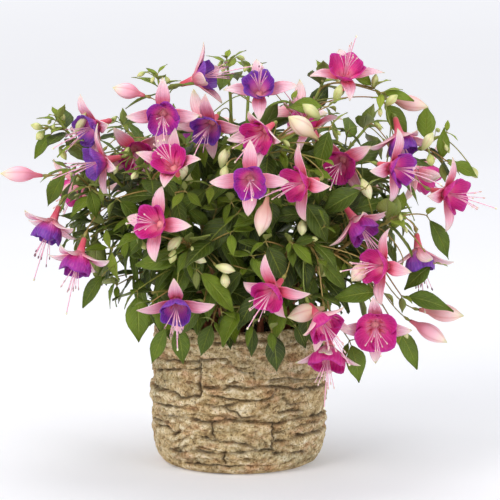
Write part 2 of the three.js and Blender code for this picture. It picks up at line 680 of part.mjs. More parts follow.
// Calyx: a tube that widens to its mouth, with four sepals that grow out of the rim of the mouth
function calyxShape(bloom, flower, grow) {
  const start = bloom.fused ? FUSED_OVERLAP : 0;
  const edge = radians(SEPAL_ROOT_ANGLE);
  const rimPoint = (angle, forward) => moved(moved(flower.throat, flower.out(angle),
    TUBE_RADIUS + grow), flower.axis, forward);
  const points = [];
  const add = (point) => points.push(point) - 1;
  const back = [];
  const lower = [];
  const upper = [];
  for (let i = 0; i < 4; i += 1) {
    const angle = i * Math.PI / 2;
    const corner = moved(flower.throat, flower.out(angle + Math.PI / 4), TUBE_BACK_RADIUS + grow);
    back.push(add(moved(corner, flower.axis, -TUBE_LENGTH - start)));
    lower.push(add(rimPoint(angle - edge, -1 - grow)), add(rimPoint(angle + edge, -1 - grow)));
    upper.push(add(rimPoint(angle - edge, grow)), add(rimPoint(angle + edge, grow)));
  }
  const triangles = [[back[0], back[2], back[1]], [back[0], back[3], back[2]]];
  for (let j = 1; j < 7; j += 1) triangles.push([upper[0], upper[j], upper[j + 1]]);
  for (let i = 0; i < 4; i += 1) {
    const [left, right, next] = [2 * i, 2 * i + 1, (2 * i + 2) % 8];
    const before = back[(i + 3) % 4];
    triangles.push([before, back[i], lower[right]], [before, lower[right], lower[left]]);
    triangles.push([back[i], lower[next], lower[right]]);
    triangles.push([lower[right], lower[next], upper[next]], [lower[right], upper[next], upper[right]]);
    const sepal = sepalPoints(flower, i * Math.PI / 2, bloom.fold);
    const half = SEPAL_THICKNESS / 2 + grow;
    const inner = sepal.points.map((point, k) => add(moved(point, sepal.facings[k], half)));
    const outer = sepal.points.map((point, k) => add(moved(point, sepal.facings[k], -half)));
    const below = new Map([[upper[left], lower[left]], [upper[right], lower[right]],
      ...inner.map((number, k) => [number, outer[k]])]);
    const [a, b, tip] = inner;
    const face = [[upper[left], a, b], [upper[left], b, upper[right]], [a, tip, b]];
    triangles.push(...face, ...face.map((triangle) => triangle.map((k) => below.get(k)).reverse()));
    for (const [from, to] of [[upper[left], a], [a, tip], [tip, b], [b, upper[right]]]) {
      triangles.push([to, from, below.get(from)], [to, below.get(from), below.get(to)]);
    }
  }
  return solidFromTriangles(points, triangles);
}

// Corolla: a ruffled outer whorl of four petals round a tighter inner whorl, as rings of radius
// and distance along the axis; every second column is the edge where one petal laps the next
function corollaCup(bloom, flower, grow) {
  const start = bloom.fused ? -1 : GAP;
  const reach = COROLLA_REACH;
  const radius = COROLLA_RADIUS;
  const outline = [
    [TUBE_RADIUS - 0.7 + grow, start - grow, 0],
    [radius + grow, reach * 0.92, 1],
    [radius - 0.9, reach * 0.94 + grow, 1],
    [radius * 0.36, reach * 0.45 + grow, 0],
    [radius * 0.58, reach * 0.88 + grow, 0.7],
  ];
  const rings = outline.map(([wide, forward, ruffle]) => Array.from({ length: 8 }, (_, column) => {
    const lap = column % 2 ? -ruffle : ruffle;
    return moved(moved(flower.throat, flower.out((column + 0.5) * Math.PI / 4),
      wide + lap * PETAL_RUFFLE), flower.axis, forward + lap * PETAL_RUFFLE);
  }));
  return ringBody(rings, moved(flower.throat, flower.axis, start - grow),
    moved(flower.throat, flower.axis, reach * 0.5 + grow));
}

// A stamen or the style: a thread out of the middle of the corolla with a wider end
function threadShape(flower, angle, reach, length, grow) {
  const root = moved(flower.throat, flower.axis, 5);
  const end = moved(moved(flower.throat, flower.out(angle), reach), flower.axis, length);
  end.z -= length * 0.05;
  return tube(new THREE.LineCurve3(root, end),
    [[0, FILAMENT_RADIUS], [0.93, ANTHER_RADIUS], [1, 0]], 3, grow);
}

function corollaShape(bloom, flower, grow) {
  const parts = [corollaCup(bloom, flower, grow)];
  parts.push(threadShape(flower, 3.9, 3, STYLE_LENGTH, grow));
  if (!bloom.fused) parts.push(threadShape(flower, 1, 9, STAMEN_LENGTH, grow));
  return fuse(parts);
}

function flowerPiece(bloom, attempt) {
  const flower = flowerFrame(bloom, attempt * 0.23);
  const calyx = calyxShape(bloom, flower, 0);
  const corolla = corollaShape(bloom, flower, 0);
  const solid = fuse([calyx, corolla]);
  const guard = fuse([calyxShape(bloom, flower, GUARD), corollaShape(bloom, flower, GUARD)]);
  return { calyx, corolla, solid, guard, spread: solid, spreadGuard: guard };
}

// Putting the plant together: flowers, then main stems, stalks and buds, side shoots and leaves

const plant = new THREE.Group();

function addMesh(name, solid, colour, roughness) {
  const material = new THREE.MeshStandardMaterial({ color: colour, roughness, metalness: 0 });
  const mesh = new THREE.Mesh(geometryFrom(solid), material);
  mesh.name = name;
  plant.add(mesh);
}

function required(piece, name) {
  if (!piece) throw new Error(`${name} finds no clear place`);
  return piece;
}

const planter = planterSolid();
const soil = soilSolid();
place({ guard: planter }, 'planter');
place({ guard: soil }, 'potting_soil');
addMesh('planter', planter, 0xb39b74, 0.9);
addMesh('potting_soil', soil, 0x2e2117, 1);

const grown = new Map();
for (const stem of STEMS) {
  const curve = new StemCurve(stem);
  const piece = stemPiece(curve);
  required(isClear(piece, stem.name), stem.name);
  place(piece, stem.name);
  grown.set(stem.name, { curve, parts: [piece.solid] });
}

for (const bloom of BLOOMS) {
  const owner = bloom.fused ? bloom.stem : bloom.name;
  const make = (attempt) => flowerPiece(bloom, attempt);
  const flower = required(firstClear(make, BLOOM_TRIES, owner), bloom.name);
  if (bloom.fused) {
    grown.get(bloom.stem).parts.push(flower.calyx, flower.corolla);
  } else {
    addMesh(`${bloom.name}_calyx`, flower.calyx, 0xf0a6b8, 0.6);
    addMesh(`${bloom.name}_corolla`, flower.corolla, PETAL_COLOURS[bloom.petals], 0.65);
  }
}

for (const bloom of BLOOMS) {
  const { curve, parts } = grown.get(bloom.stem);
  const facing = vector(...bloom.facing).normalize();
  const end = moved(vector(...bloom.throat), facing, -TUBE_LENGTH - 2 * GAP);
  const make = (attempt) => stalkPiece(curve, bloom.from, end, facing, attempt);
  const stalk = required(firstClear(make, STALK_TRIES, bloom.stem), `stalk of ${bloom.name}`);
  parts.push(stalk.solid);
}

BUDS.forEach((bud, number) => {
  const { curve, parts } = grown.get(bud.stem);
  const make = (attempt) => budPiece(bud, curve, attempt);
  const piece = firstClear(make, STALK_TRIES, bud.stem);
  parts.push(required(piece, `bud ${number}`).solid);
});

function addLeaves(curve, parts, owner, seed, firstT, longest) {
  const stations = Math.max(1, Math.round(curve.getLength() * (1 - firstT) / LEAF_SPACING));
  for (let station = 0; station < stations; station += 1) {
    const t = firstT + (LEAF_LAST - firstT) * station / Math.max(1, stations - 1);
    const length = longest * (1 - 0.3 * (station / stations) ** 2);
    for (const side of [0, 1]) {
      const make = (attempt) => leafPiece(curve, t, station, side, attempt, length, seed);
      const leaf = firstClear(make, LEAF_TRIES, owner);
      if (leaf) parts.push(leaf.solid);
    }
  }
}

STEMS.forEach((stem, number) => {
  const { curve, parts } = grown.get(stem.name);
  const shoots = [];
  for (let i = 0; i < stem.shoots; i += 1) {
    const t = SHOOT_FIRST + SHOOT_SPREAD * i / stem.shoots;
    const turn = SHOOT_TURN * i + number;
    const make = (attempt) => shootPiece(curve, t, turn + 0.7 * attempt,
      SHOOT_LENGTH * (1 - 0.04 * attempt));
    const shoot = firstClear(make, SHOOT_TRIES, stem.name);
    if (shoot) {
      parts.push(shoot.solid);
      shoots.push(shoot);
    }
  }
  addLeaves(curve, parts, stem.name, number, LEAF_FIRST, LEAF_LENGTH);
  shoots.forEach((shoot, i) => {
    addLeaves(shoot.curve, parts, stem.name, number + 20 * (i + 1), SHOOT_LEAF_FIRST,
      LEAF_LENGTH * SHOOT_LEAF_SHARE);
  });
});

for (const [name, { parts }] of grown) {
  addMesh(name, fuse(parts), 0x5f8a35, 0.7);
}

export default plant;
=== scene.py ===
import json
import math

import bpy
import numpy as np
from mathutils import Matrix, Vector, bvhtree, kdtree, noise

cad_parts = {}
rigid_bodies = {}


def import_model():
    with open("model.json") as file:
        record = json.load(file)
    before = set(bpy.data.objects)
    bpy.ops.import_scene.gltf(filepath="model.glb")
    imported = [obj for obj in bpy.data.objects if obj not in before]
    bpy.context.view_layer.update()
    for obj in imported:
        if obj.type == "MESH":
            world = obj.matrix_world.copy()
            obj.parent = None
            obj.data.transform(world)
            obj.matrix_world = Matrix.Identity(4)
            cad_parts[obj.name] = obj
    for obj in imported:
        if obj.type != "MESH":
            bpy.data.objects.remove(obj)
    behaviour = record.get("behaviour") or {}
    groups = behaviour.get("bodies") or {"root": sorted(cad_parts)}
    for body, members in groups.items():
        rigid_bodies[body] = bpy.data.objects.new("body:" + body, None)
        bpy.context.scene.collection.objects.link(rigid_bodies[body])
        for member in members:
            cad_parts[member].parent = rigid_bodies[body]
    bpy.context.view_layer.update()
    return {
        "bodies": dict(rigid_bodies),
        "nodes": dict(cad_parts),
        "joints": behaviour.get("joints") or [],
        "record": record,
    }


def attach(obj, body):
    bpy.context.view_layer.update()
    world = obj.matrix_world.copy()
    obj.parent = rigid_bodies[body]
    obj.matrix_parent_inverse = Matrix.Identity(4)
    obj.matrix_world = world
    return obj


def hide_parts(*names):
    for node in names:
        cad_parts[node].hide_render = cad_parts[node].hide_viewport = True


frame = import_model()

# Potted fuchsia in a round cast-stone planter. Metres, +Z up, front towards -Y, the same frame as
# the CAD model. The plant's own lengths are written in millimetres and scaled by MM.
MM = 0.001


# Studio. A wide pale floor with a faint glow of its own that grows with the distance, one large
# soft light from the upper left, a weaker one from the right, and a camera a little above the rim.

FLOOR_RADIUS = 14.0
GLOW_REACH = 6.0
GLOW_SHIFT = (0.0, 0.35, 0.0)
GLOW_STRENGTH = 0.64
GLOW_COLOURS = ((0, (0.21, 0.21, 0.22, 1)), (0.1, (0.34, 0.34, 0.345, 1)), (1, (1, 1, 1.02, 1)))


def deselect_all():
    bpy.ops.object.select_all(action="DESELECT")


def paint(red, green, blue):
    """A colour from its usual 0 to 255 values, as the linear values that a shader takes."""
    linear = []
    for value in (red, green, blue):
        share = value / 255
        linear.append(share / 12.92 if share <= 0.04045 else ((share + 0.055) / 1.055) ** 2.4)
    return (*linear, 1.0)


def feed(tree, socket, value):
    """Gives a socket another node's output or a plain value, a colour as its 0 to 255 values."""
    if isinstance(value, bpy.types.NodeSocket):
        tree.links.new(value, socket)
    elif socket.type == "RGBA" and len(value) == 3:
        socket.default_value = paint(*value)
    else:
        socket.default_value = value


def add_node(tree, kind, inputs=None, **settings):
    """A node with its settings; each input is a plain value or another node's output."""
    made = tree.nodes.new(kind)
    for name, value in settings.items():
        setattr(made, name, value)
    for name, value in (inputs or {}).items():
        feed(tree, made.inputs[name], value)
    return made


def ramp(tree, value, stops):
    """A colour ramp through (place, colour) stops; four values for a colour are linear ones."""
    made = add_node(tree, "ShaderNodeValToRGB", {"Fac": value})
    elements = made.color_ramp.elements
    while len(elements) < len(stops):
        elements.new(0.5)
    for element, (place, colour) in zip(elements, stops):
        element.position = place
        element.color = colour if len(colour) == 4 else paint(*colour)
    return made.outputs["Color"]


def new_material(name, **constants):
    """A material with a plain Principled shader; returns it with its tree and shader."""
    material = bpy.data.materials.new(name)
    material.use_nodes = True
    tree = material.node_tree
    shader = tree.nodes["Principled BSDF"]
    for socket, value in constants.items():
        shader.inputs[socket.replace("_", " ")].default_value = value
    return material, tree, shader


def floor_material():
    """A pale matt floor, whose own glow grows with the distance from the plant."""
    material, tree, shader = new_material("studio_floor", Roughness=0.9,
                                          Emission_Strength=GLOW_STRENGTH)
    place = add_node(tree, "ShaderNodeTexCoord").outputs["Object"]
    patches = add_node(tree, "ShaderNodeTexNoise", {"Vector": place, "Scale": 3.0, "Detail": 2.0})
    ahead = add_node(tree, "ShaderNodeMapping", {"Vector": place, "Location": GLOW_SHIFT})
    far = add_node(tree, "ShaderNodeVectorMath", {"Vector": ahead.outputs[0]}, operation="LENGTH")
    share = add_node(tree, "ShaderNodeMapRange", {"Value": far.outputs["Value"],
                                                  "From Max": GLOW_REACH})
    tone = ramp(tree, patches.outputs[0], ((0, (226, 226, 229)), (1, (231, 231, 234))))
    feed(tree, shader.inputs["Base Color"], tone)
    feed(tree, shader.inputs["Emission Color"], ramp(tree, share.outputs[0], GLOW_COLOURS))
    return material


deselect_all()
bpy.ops.mesh.primitive_circle_add(vertices=64, radius=FLOOR_RADIUS, fill_type="NGON")
studio_floor = bpy.context.object
studio_floor.name = "studio_floor"
studio_floor.data.materials.append(floor_material())


def soft_light(name, place, size, power, tint):
    """A round lamp that shines on the middle of the plant."""
    light = bpy.data.lights.new(name, "AREA")
    light.shape = "DISK"
    light.size = size
    light.energy = power
    light.color = tint
    lamp = bpy.data.objects.new(name, light)
    lamp.location = place
    lamp.rotation_euler = (PLANT_MIDDLE - lamp.location).to_track_quat("-Z", "Y").to_euler()
    bpy.context.scene.collection.objects.link(lamp)


PLANT_MIDDLE = Vector((0.0, 0.0, 0.25))
soft_light("key_light", (-1.45, -1.6, 1.75), 1.5, 37, (1.0, 0.985, 0.96))
soft_light("fill_light", (1.7, -1.5, 0.9), 1.4, 17, (0.96, 0.98, 1.0))
soft_light("top_light", (0.1, 0.5, 2.4), 1.6, 22, (1.0, 1.0, 1.0))

world = bpy.data.worlds.new("studio_air")
bpy.context.scene.world = world
world.use_nodes = True
air = world.node_tree.nodes["Background"]
air.inputs["Color"].default_value = (0.93, 0.95, 1.0, 1.0)
air.inputs["Strength"].default_value = 0.47
bpy.context.scene.view_settings.view_transform = "Standard"

# The camera looks down by CAMERA_TILT from far away, and its view is VIEW_WIDTH wide at the plant
CAMERA_TILT = math.radians(10)
CAMERA_DISTANCE = 4.0
VIEW_WIDTH = 0.5
VIEW_CENTRE = Vector((0.011, 0.0, 0.2132))

camera_data = bpy.data.cameras.new("camera")
camera_data.sensor_width = 36
camera_data.lens = camera_data.sensor_width * CAMERA_DISTANCE / VIEW_WIDTH
camera = bpy.data.objects.new("camera", camera_data)
away = Vector((0, -math.cos(CAMERA_TILT), math.sin(CAMERA_TILT)))
camera.location = VIEW_CENTRE + away * CAMERA_DISTANCE
camera.rotation_euler = (-away).to_track_quat("-Z", "Y").to_euler()
bpy.context.scene.collection.objects.link(camera)
bpy.context.scene.camera = camera


# Planter. A round tub cast from stone-coloured cement in a mould of stacked flat stones. The wall
# is one piece, with joints and gritty stone faces from the mould, a rounded foot and a level rim.

POT_HEIGHT = 146
POT_RIM_RADIUS = 84
POT_BELLY = 3
POT_FOOT_HEIGHT = 30
POT_FOOT_INSET = 12
POT_MOUTH_RADIUS = 76
POT_INNER_FLOOR_RADIUS = 66
POT_FLOOR = 10
WALL_COLUMNS = 440
WALL_LEVELS = 215
OUTSIDE_SHARE = 0.88
RIM_SHARE = 0.04
JOINT_DEPTH = 3.5
JOINT_ABOVE = 0.7
JOINT_BELOW = 2.0
JOINT_CORE = 0.9
STEP_REACH = 12
STEP_RISE = 2.7
LEDGE_HEIGHT = 8.5
LEDGE_RISE = 2.2
RELIEF_DEEPEST = -4
RELIEF_HIGHEST = 3.2
UNROLLED_RADIUS = 86
SHOULDER = 5
SHOULDER_DRAW = 2.2
FOOT_EDGE = 4
FOOT_DRAW = 1.5
SLAB_STRETCH = (1, 1, 2.2)
BLACK = (0, 0, 0)
WHITE = (255, 255, 255)
RAGGED_RIM = 8

# Each joint line: points as millimetres across from the middle of the front and up from the base,
# and how far the stone below it stands out past the stone above it
STONE_JOINTS = [
    (((-29, 135), (-24, 134), (3, 136), (27, 138)), 0.9),
    (((50, 130), (74, 128)), -0.6),
    (((-83, 109), (-61, 112), (-40, 115)), 0.8),
    (((-39, 117), (-21, 120), (-12, 120), (-6, 113), (2, 107), (15, 105)), -0.9),
    (((-84, 95), (-64, 104), (-39, 107)), -0.6),
    (((-38, 115), (-38, 80)), 0.5),
    (((-35, 90), (-17, 89), (-11, 91), (32, 91)), 0.9),
    (((15, 105), (15, 91)), -0.4),
    (((32, 98), (49, 97), (59, 94), (84, 88)), -1.0),
    (((32, 92), (56, 85), (85, 80)), 1.0),
    (((37, 89), (33, 82), (19, 77), (3, 78), (-26, 83)), -0.8),
    (((-87, 78), (-64, 80), (-58, 76), (-39, 80)), 0.9),
    (((-84, 62), (-60, 67)), -0.6),
    (((-35, 72), (-15, 71), (3, 76), (27, 76)), 0.8),
    (((-72, 54), (-55, 57), (-28, 54), (-9, 58), (34, 54)), 1.0),
    (((34, 53), (63, 55), (85, 51)), 0.9),
    (((34, 54), (33, 26)), -0.7),
    (((-37, 39), (-9, 36), (9, 33), (17, 28)), -0.7),
    (((36, 34), (63, 37), (85, 35)), 0.9),
    (((-72, 20), (-54, 21), (-48, 24), (-17, 23), (15, 27), (33, 26)), 1.0),
    (((-15, 23), (-15, 14)), 0.3),
    (((-58, 9), (-24, 11), (3, 10)), 0.5),
    (((37, 22), (67, 19)), 0.5),
    (((39, 64), (63, 63)), 0.4),
    (((-82, 40), (-69, 44), (-63, 39)), 0.5),
    (((-12, 70), (3, 61), (23, 62), (30, 73)), 0.6),
    (((36, 44), (60, 47), (82, 47)), -0.6),
    (((-74, 56), (-71, 47), (-85, 45)), 0.7),
    (((-60, 56), (-58, 44), (-66, 36)), -0.5),
    (((-62, 21), (-60, 30), (-50, 39)), 0.6),
    (((-25, 56), (-27, 46), (-22, 38)), 0.4),
    (((44, 78), (52, 70), (70, 70)), -0.5),
]


def plain_radius(height):
    """The planter's smooth outline: its radius at each height, in millimetres."""
    belly = POT_BELLY * np.sin(np.pi * height / POT_HEIGHT)
    below = np.maximum(0, 1 - height / POT_FOOT_HEIGHT)
    return POT_RIM_RADIUS + belly - POT_FOOT_INSET * (1 - np.sqrt(1 - below ** 2))


def joint_segments():
    """The joint lines on the unrolled wall, the front ones and their like on the back."""
    segments = []
    for points, step in STONE_JOINTS:
        around = [(UNROLLED_RADIUS * math.asin(max(-1, min(1, across / UNROLLED_RADIUS))), up)
                  for across, up in points]
        for half_turn in (0, math.pi * UNROLLED_RADIUS):
            for (x0, z0), (x1, z1) in zip(around, around[1:]):
                segments.append((x0 + half_turn, z0, x1 + half_turn, z1, step))
    return segments


def wall_noise(x, y, height, wide, tall):
    """Noise over the wall, with marks about as wide and as tall as given."""
    places = np.stack((x / wide, y / wide, height / tall), axis=1)
    return np.array([noise.noise(Vector(place)) for place in places.tolist()])


def nearest_joint(along, level):
    """For places on the unrolled wall: how far off the nearest joint line is, how much they lie
    above it, from 0 to 1, and how far the step between its two stones moves them out or in."""
    length = 2 * math.pi * UNROLLED_RADIUS
    nearest = np.full(len(along), 1e9)
    above = np.zeros(len(along))
    step_here = np.zeros(len(along))
    for x0, z0, x1, z1, step in joint_segments():
        offset = (along - x0 + length / 2) % length - length / 2
        dx, dz = x1 - x0, z1 - z0
        share = np.clip((offset * dx + (level - z0) * dz) / (dx * dx + dz * dz), 0, 1)
        gap_x, gap_z = offset - share * dx, level - z0 - share * dz
        distance = np.hypot(gap_x, gap_z)
        closer = distance < nearest
        nearest = np.where(closer, distance, nearest)
        above = np.where(closer, 0.5 + 0.5 * gap_z / np.maximum(distance, 0.01), above)
        side = np.tanh(-gap_z / 0.5)
        step_here = np.where(closer, step * side * np.exp(-distance / STEP_REACH), step_here)
    return nearest, above, step_here


def stone_relief(turn, height):
    """How far the wall stands out past its smooth outline, how deep in a joint with its painted
    shade, and the painted highlight and shade of its relief.
    """
    x, y = np.cos(turn) * UNROLLED_RADIUS, np.sin(turn) * UNROLLED_RADIUS
    broad = wall_noise(x, y, height, 19, 10)
    middle = wall_noise(x, y, height, 6.5, 4)
    fine = wall_noise(x, y, height, 2.7, 2.2)
    # The joint lines waver with the noise, and are wider below than above
    along = turn * UNROLLED_RADIUS + 2.4 * middle
    level = height + 1.8 * wall_noise(y, x, height, 11, 9) + 0.9 * fine
    nearest, above, step_here = nearest_joint(along, level)
    width = (JOINT_BELOW + (JOINT_ABOVE - JOINT_BELOW) * above) * (1 + 0.5 * middle)
    depth = np.exp(-(nearest / width) ** 2)
    # Thin layers of the stone end in small ledges here and there, and chips are out of its faces
    layers = level / LEDGE_HEIGHT + 1.3 * wall_noise(x, y, height, 42, 30)
    here = np.clip(0.35 + 2.2 * wall_noise(x, y, height, 24, 11), 0, 1)
    ledge = here * (0.5 - (layers - np.floor(layers)))
    chipped = np.abs(wall_noise(y, x, height, 15, 8)) - 0.2
    rough = 0.6 * middle + 0.55 * fine + 1.4 * chipped
    relief = STEP_RISE * step_here + 1.3 * broad + rough + LEDGE_RISE * ledge
    strength = np.clip(0.85 + 1.0 * wall_noise(y, height, x, 15, 15), 0.3, 1)
    relief = np.clip(relief - JOINT_DEPTH * depth * strength, RELIEF_DEEPEST, RELIEF_HIGHEST)
    # The marks for the material: a joint's dark core and painted shade in its groove, and painted
    # highlight and shade on raised and sunk places
    core = np.exp(-(nearest / JOINT_CORE) ** 2)
    lip = np.exp(-((nearest - 2.2 * width) / 1.6) ** 2) * (1 - above)
    # Painted highlight on raised faces, ledge edges and the lips below joints, painted shade in
    # chips and under ledges
    raised = np.clip(0.42 + 0.5 * rough + 0.6 * ledge + 0.45 * lip, 0, 1)
    return relief, np.maximum(0.65 * depth, core) * strength, raised


def wall_profile(share):
    """The wall's section: from the edge of the base up the outside, over the rim, down inside."""
    outside, rim = OUTSIDE_SHARE, OUTSIDE_SHARE + RIM_SHARE
    height = np.interp(share, (0, outside, rim, 1), (0, POT_HEIGHT, POT_HEIGHT - 1, POT_FLOOR))
    inside = np.interp(share, (rim, 1), (POT_MOUTH_RADIUS, POT_INNER_FLOOR_RADIUS))
    over = np.interp(share, (outside, rim), (POT_RIM_RADIUS - 1.5, POT_MOUTH_RADIUS))
    radius = np.where(share <= outside, plain_radius(height), np.where(share < rim, over, inside))
    return radius, height


def add_marks(mesh, name, values):
    """A value at each point of a mesh, for its material."""
    mesh.attributes.new(name, "FLOAT", "POINT").data.foreach_set("value", values)


def planter_mesh():
    """A fine grid rolled into the wall, welded down its seam, with the base and inside filled."""
    deselect_all()
    bpy.ops.mesh.primitive_grid_add(x_subdivisions=WALL_COLUMNS, y_subdivisions=WALL_LEVELS, size=2)
    pot = bpy.context.object
    count = len(pot.data.vertices)
    flat = np.zeros(count * 3)
    pot.data.vertices.foreach_get("co", flat)
    grid = flat.reshape(-1, 3)
    turn = grid[:, 0] * math.pi
    share = (grid[:, 1] + 1) / 2
    radius, height = wall_profile(share)
    outer = share <= OUTSIDE_SHARE
    relief, depth, raised = stone_relief(turn[outer], height[outer])
    shoulder = np.clip((height[outer] - (POT_HEIGHT - SHOULDER)) / SHOULDER, 0, 1)
    foot = np.clip(1 - height[outer] / FOOT_EDGE, 0, 1)
    drawn_in = SHOULDER_DRAW * shoulder ** 2 + FOOT_DRAW * foot
    radius[outer] += relief * (1 - 0.7 * foot) - drawn_in
    # The joint mark with its painted shade, and the painted highlight and shade of the relief
    joint, lift = np.zeros(count), np.full(count, 0.5)
    joint[outer], lift[outer] = depth, raised
    place = np.stack((np.sin(turn) * radius, -np.cos(turn) * radius, height), axis=1)
    for i in np.where(height > POT_HEIGHT - RAGGED_RIM)[0]:
        rough = noise.noise(Vector(place[i]) / 7) + 0.6 * noise.noise(Vector(place[i]) / 2.5)
        place[i, 2] += rough * 0.9 - 0.8
        if not outer[i]:
            place[i, :2] *= 1 + 0.007 * rough
    pot.data.vertices.foreach_set("co", (place * MM).ravel())
    add_marks(pot.data, "joint", joint)
    add_marks(pot.data, "raised", lift)
    pot.data.update()
    bpy.ops.object.mode_set(mode="EDIT")
    bpy.ops.mesh.select_all(action="SELECT")
    bpy.ops.mesh.remove_doubles(threshold=0.02 * MM)
    bpy.ops.mesh.select_all(action="DESELECT")
    bpy.ops.mesh.select_non_manifold()
    bpy.ops.mesh.fill_holes(sides=0)
    bpy.ops.object.mode_set(mode="OBJECT")
    pot.data.shade_smooth()
    return pot


def new_group(name, place, numbers, outputs):
    """A node group with a vector input, number inputs and number outputs, and what it is given."""
    group = bpy.data.node_groups.new(name, "ShaderNodeTree")
    group.interface.new_socket(place, in_out="INPUT", socket_type="NodeSocketVector")
    for socket in numbers:
        group.interface.new_socket(socket, in_out="INPUT", socket_type="NodeSocketFloat")
    for socket in outputs:
        group.interface.new_socket(socket, in_out="OUTPUT", socket_type="NodeSocketFloat")
    return group, add_node(group, "NodeGroupInput").outputs


def grain_group():
    """Grain: two sizes of noise mixed to one value from 0 to 1."""
    group, given = new_group("grain", "Vector", ("Scale", "Fine Scale", "Fine Share"), ("Value",))
    coarse = add_node(group, "ShaderNodeTexNoise", {
        "Vector": given["Vector"], "Scale": given["Scale"], "Detail": 4.0})
    fine = add_node(group, "ShaderNodeTexNoise", {
        "Vector": given["Vector"], "Scale": given["Fine Scale"], "Detail": 3.0})
    mixed = add_node(group, "ShaderNodeMix", {
        "Factor": given["Fine Share"], "A": coarse.outputs[0], "B": fine.outputs[0]})
    add_node(group, "NodeGroupOutput", {"Value": mixed.outputs["Result"]})
    return group


GRAIN = grain_group()


def grain(tree, scale, fine_scale, fine_share, stretch=None):
    """The grain at each place of the object, stretched along its axes where that is given."""
    place = add_node(tree, "ShaderNodeTexCoord").outputs["Object"]
    if stretch:
        place = add_node(tree, "ShaderNodeMapping", {"Vector": place, "Scale": stretch}).outputs[0]
    made = add_node(tree, "ShaderNodeGroup", {
        "Vector": place, "Scale": scale, "Fine Scale": fine_scale,
        "Fine Share": fine_share}, node_tree=GRAIN)
    return made.outputs["Value"]


def blend(tree, factor, first, second, way="MIX"):
    """Two colours mixed by a factor; each is a colour or another node's output."""
    made = add_node(tree, "ShaderNodeMix", data_type="RGBA", blend_type=way)
    for place, value in ((0, factor), (6, first), (7, second)):
        feed(tree, made.inputs[place], value)
    return made.outputs[2]


def math_node(tree, operation, *values):
    made = add_node(tree, "ShaderNodeMath", operation=operation)
    for socket, value in zip(made.inputs, values):
        feed(tree, socket, value)
    return made.outputs[0]


def scaled(tree, value, factor, more=0.0):
    """A value times a factor, and a constant more."""
    product = math_node(tree, "MULTIPLY", value, factor)
    return math_node(tree, "ADD", product, more) if more else product


def bump(tree, height, strength, distance):
    made = add_node(tree, "ShaderNodeBump", {"Height": height, "Strength": strength,
                                             "Distance": distance})
    return made.outputs["Normal"]


def attribute(tree, name):
    return add_node(tree, "ShaderNodeAttribute", attribute_name=name).outputs["Fac"]


def dress(tree, shader, colour, normal, rough=None):
    """Gives a material's shader its finished colour, normal and roughness."""
    feed(tree, shader.inputs["Base Color"], colour)
    feed(tree, shader.inputs["Normal"], normal)
    if rough:
        feed(tree, shader.inputs["Roughness"], rough)


def planter_material():
    """Cast stone: sandy slabs with warm and mossy patches, specks and pits, dark in the joints with
    painted shade in their grooves, and painted highlight and shade on the relief.
    """
    material, tree, shader = new_material("cast_stone", Roughness=0.9)
    tone = ramp(tree, grain(tree, 22, 60, 0.3, SLAB_STRETCH), (
        (0.3, (188, 170, 138)), (0.45, (236, 218, 184)), (0.55, (252, 240, 214)),
        (0.7, (226, 202, 166))))
    warm = ramp(tree, grain(tree, 34, 50, 0.5, SLAB_STRETCH), ((0.5, BLACK), (0.62, WHITE)))
    tone = blend(tree, scaled(tree, warm, 0.6), tone, (222, 166, 128))
    mossy = ramp(tree, grain(tree, 18, 80, 0.4, SLAB_STRETCH), ((0.5, BLACK), (0.64, WHITE)))
    tone = blend(tree, scaled(tree, mossy, 0.6), tone, (172, 170, 140))
    blotch = ramp(tree, grain(tree, 190, 420, 0.4), (
        (0.4, (202, 186, 156)), (0.5, (238, 230, 210)), (0.6, WHITE)))
    tone = blend(tree, 0.8, tone, blotch, "MULTIPLY")
    pits = grain(tree, 330, 760, 0.5)
    speckle = ramp(tree, pits, (
        (0.37, (106, 90, 66)), (0.43, (206, 196, 172)), (0.5, (250, 246, 232)), (0.56, WHITE)))
    tone = blend(tree, 0.8, tone, speckle, "MULTIPLY")
    # Painted light and shade: raised faces, ledges and lips paler, sunk places and the undersides
    # of ledges darker
    height = ramp(tree, attribute(tree, "raised"), (
        (0.05, (142, 124, 98)), (0.4, (236, 228, 212)), (0.75, WHITE)))
    tone = blend(tree, 0.95, tone, height, "MULTIPLY")
    # The joints dark along their core, and painted shade over the depth of each groove
    tone = blend(tree, scaled(tree, attribute(tree, "joint"), 0.95), tone, (58, 44, 28))
    dress(tree, shader, tone, bump(tree, pits, 1.0, 0.003))
    return material


planter = planter_mesh()
planter.name = "planter_stone_wall"
planter.data.materials.append(planter_material())
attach(planter, "root")
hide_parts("planter")


# Soil. Dark peaty compost that fills the planter to a little below the rim, loose on top, with
# crumbs and bits of bark. It is poured in and pressed round the feet of the stems.

SOIL_LEVEL = 125
SOIL_MOUND = 3
SOIL_CLEARANCE = 0.4
SOIL_COLUMNS = 96
SOIL_RINGS = 26
CRUMBS = 140
CRUMB_TURN = 2.4
CRUMB_SMALLEST = 0.9
CRUMB_LARGEST = 2.8
CRUMB_FLATNESS = 0.7


def inner_radius(height):
    """The radius of the planter's inside at a height."""
    share = (height - POT_FLOOR) / (POT_HEIGHT - 1 - POT_FLOOR)
    return POT_INNER_FLOOR_RADIUS + (POT_MOUTH_RADIUS - POT_INNER_FLOOR_RADIUS) * share


def chance(*keys):
    """A value between 0 and 1 that is always the same for the same keys."""
    total = 1.7 + sum(key * (12.9898 + 65.2432 * place) for place, key in enumerate(keys))
    wave = math.sin(total) * 43758.5453
    return wave - math.floor(wave)


def between(low, high, *keys):
    return low + (high - low) * chance(*keys)


def soil_height(x, y):
    """The top of the soil: a low mound with lumps."""
    reach = math.hypot(x, y) / POT_MOUTH_RADIUS
    lumps = noise.noise(Vector((x, y, 0)) / 11) * 2.2 + noise.noise(Vector((x, y, 9)) / 4) * 1.4
    return SOIL_LEVEL + SOIL_MOUND * (1 - reach ** 2) + lumps


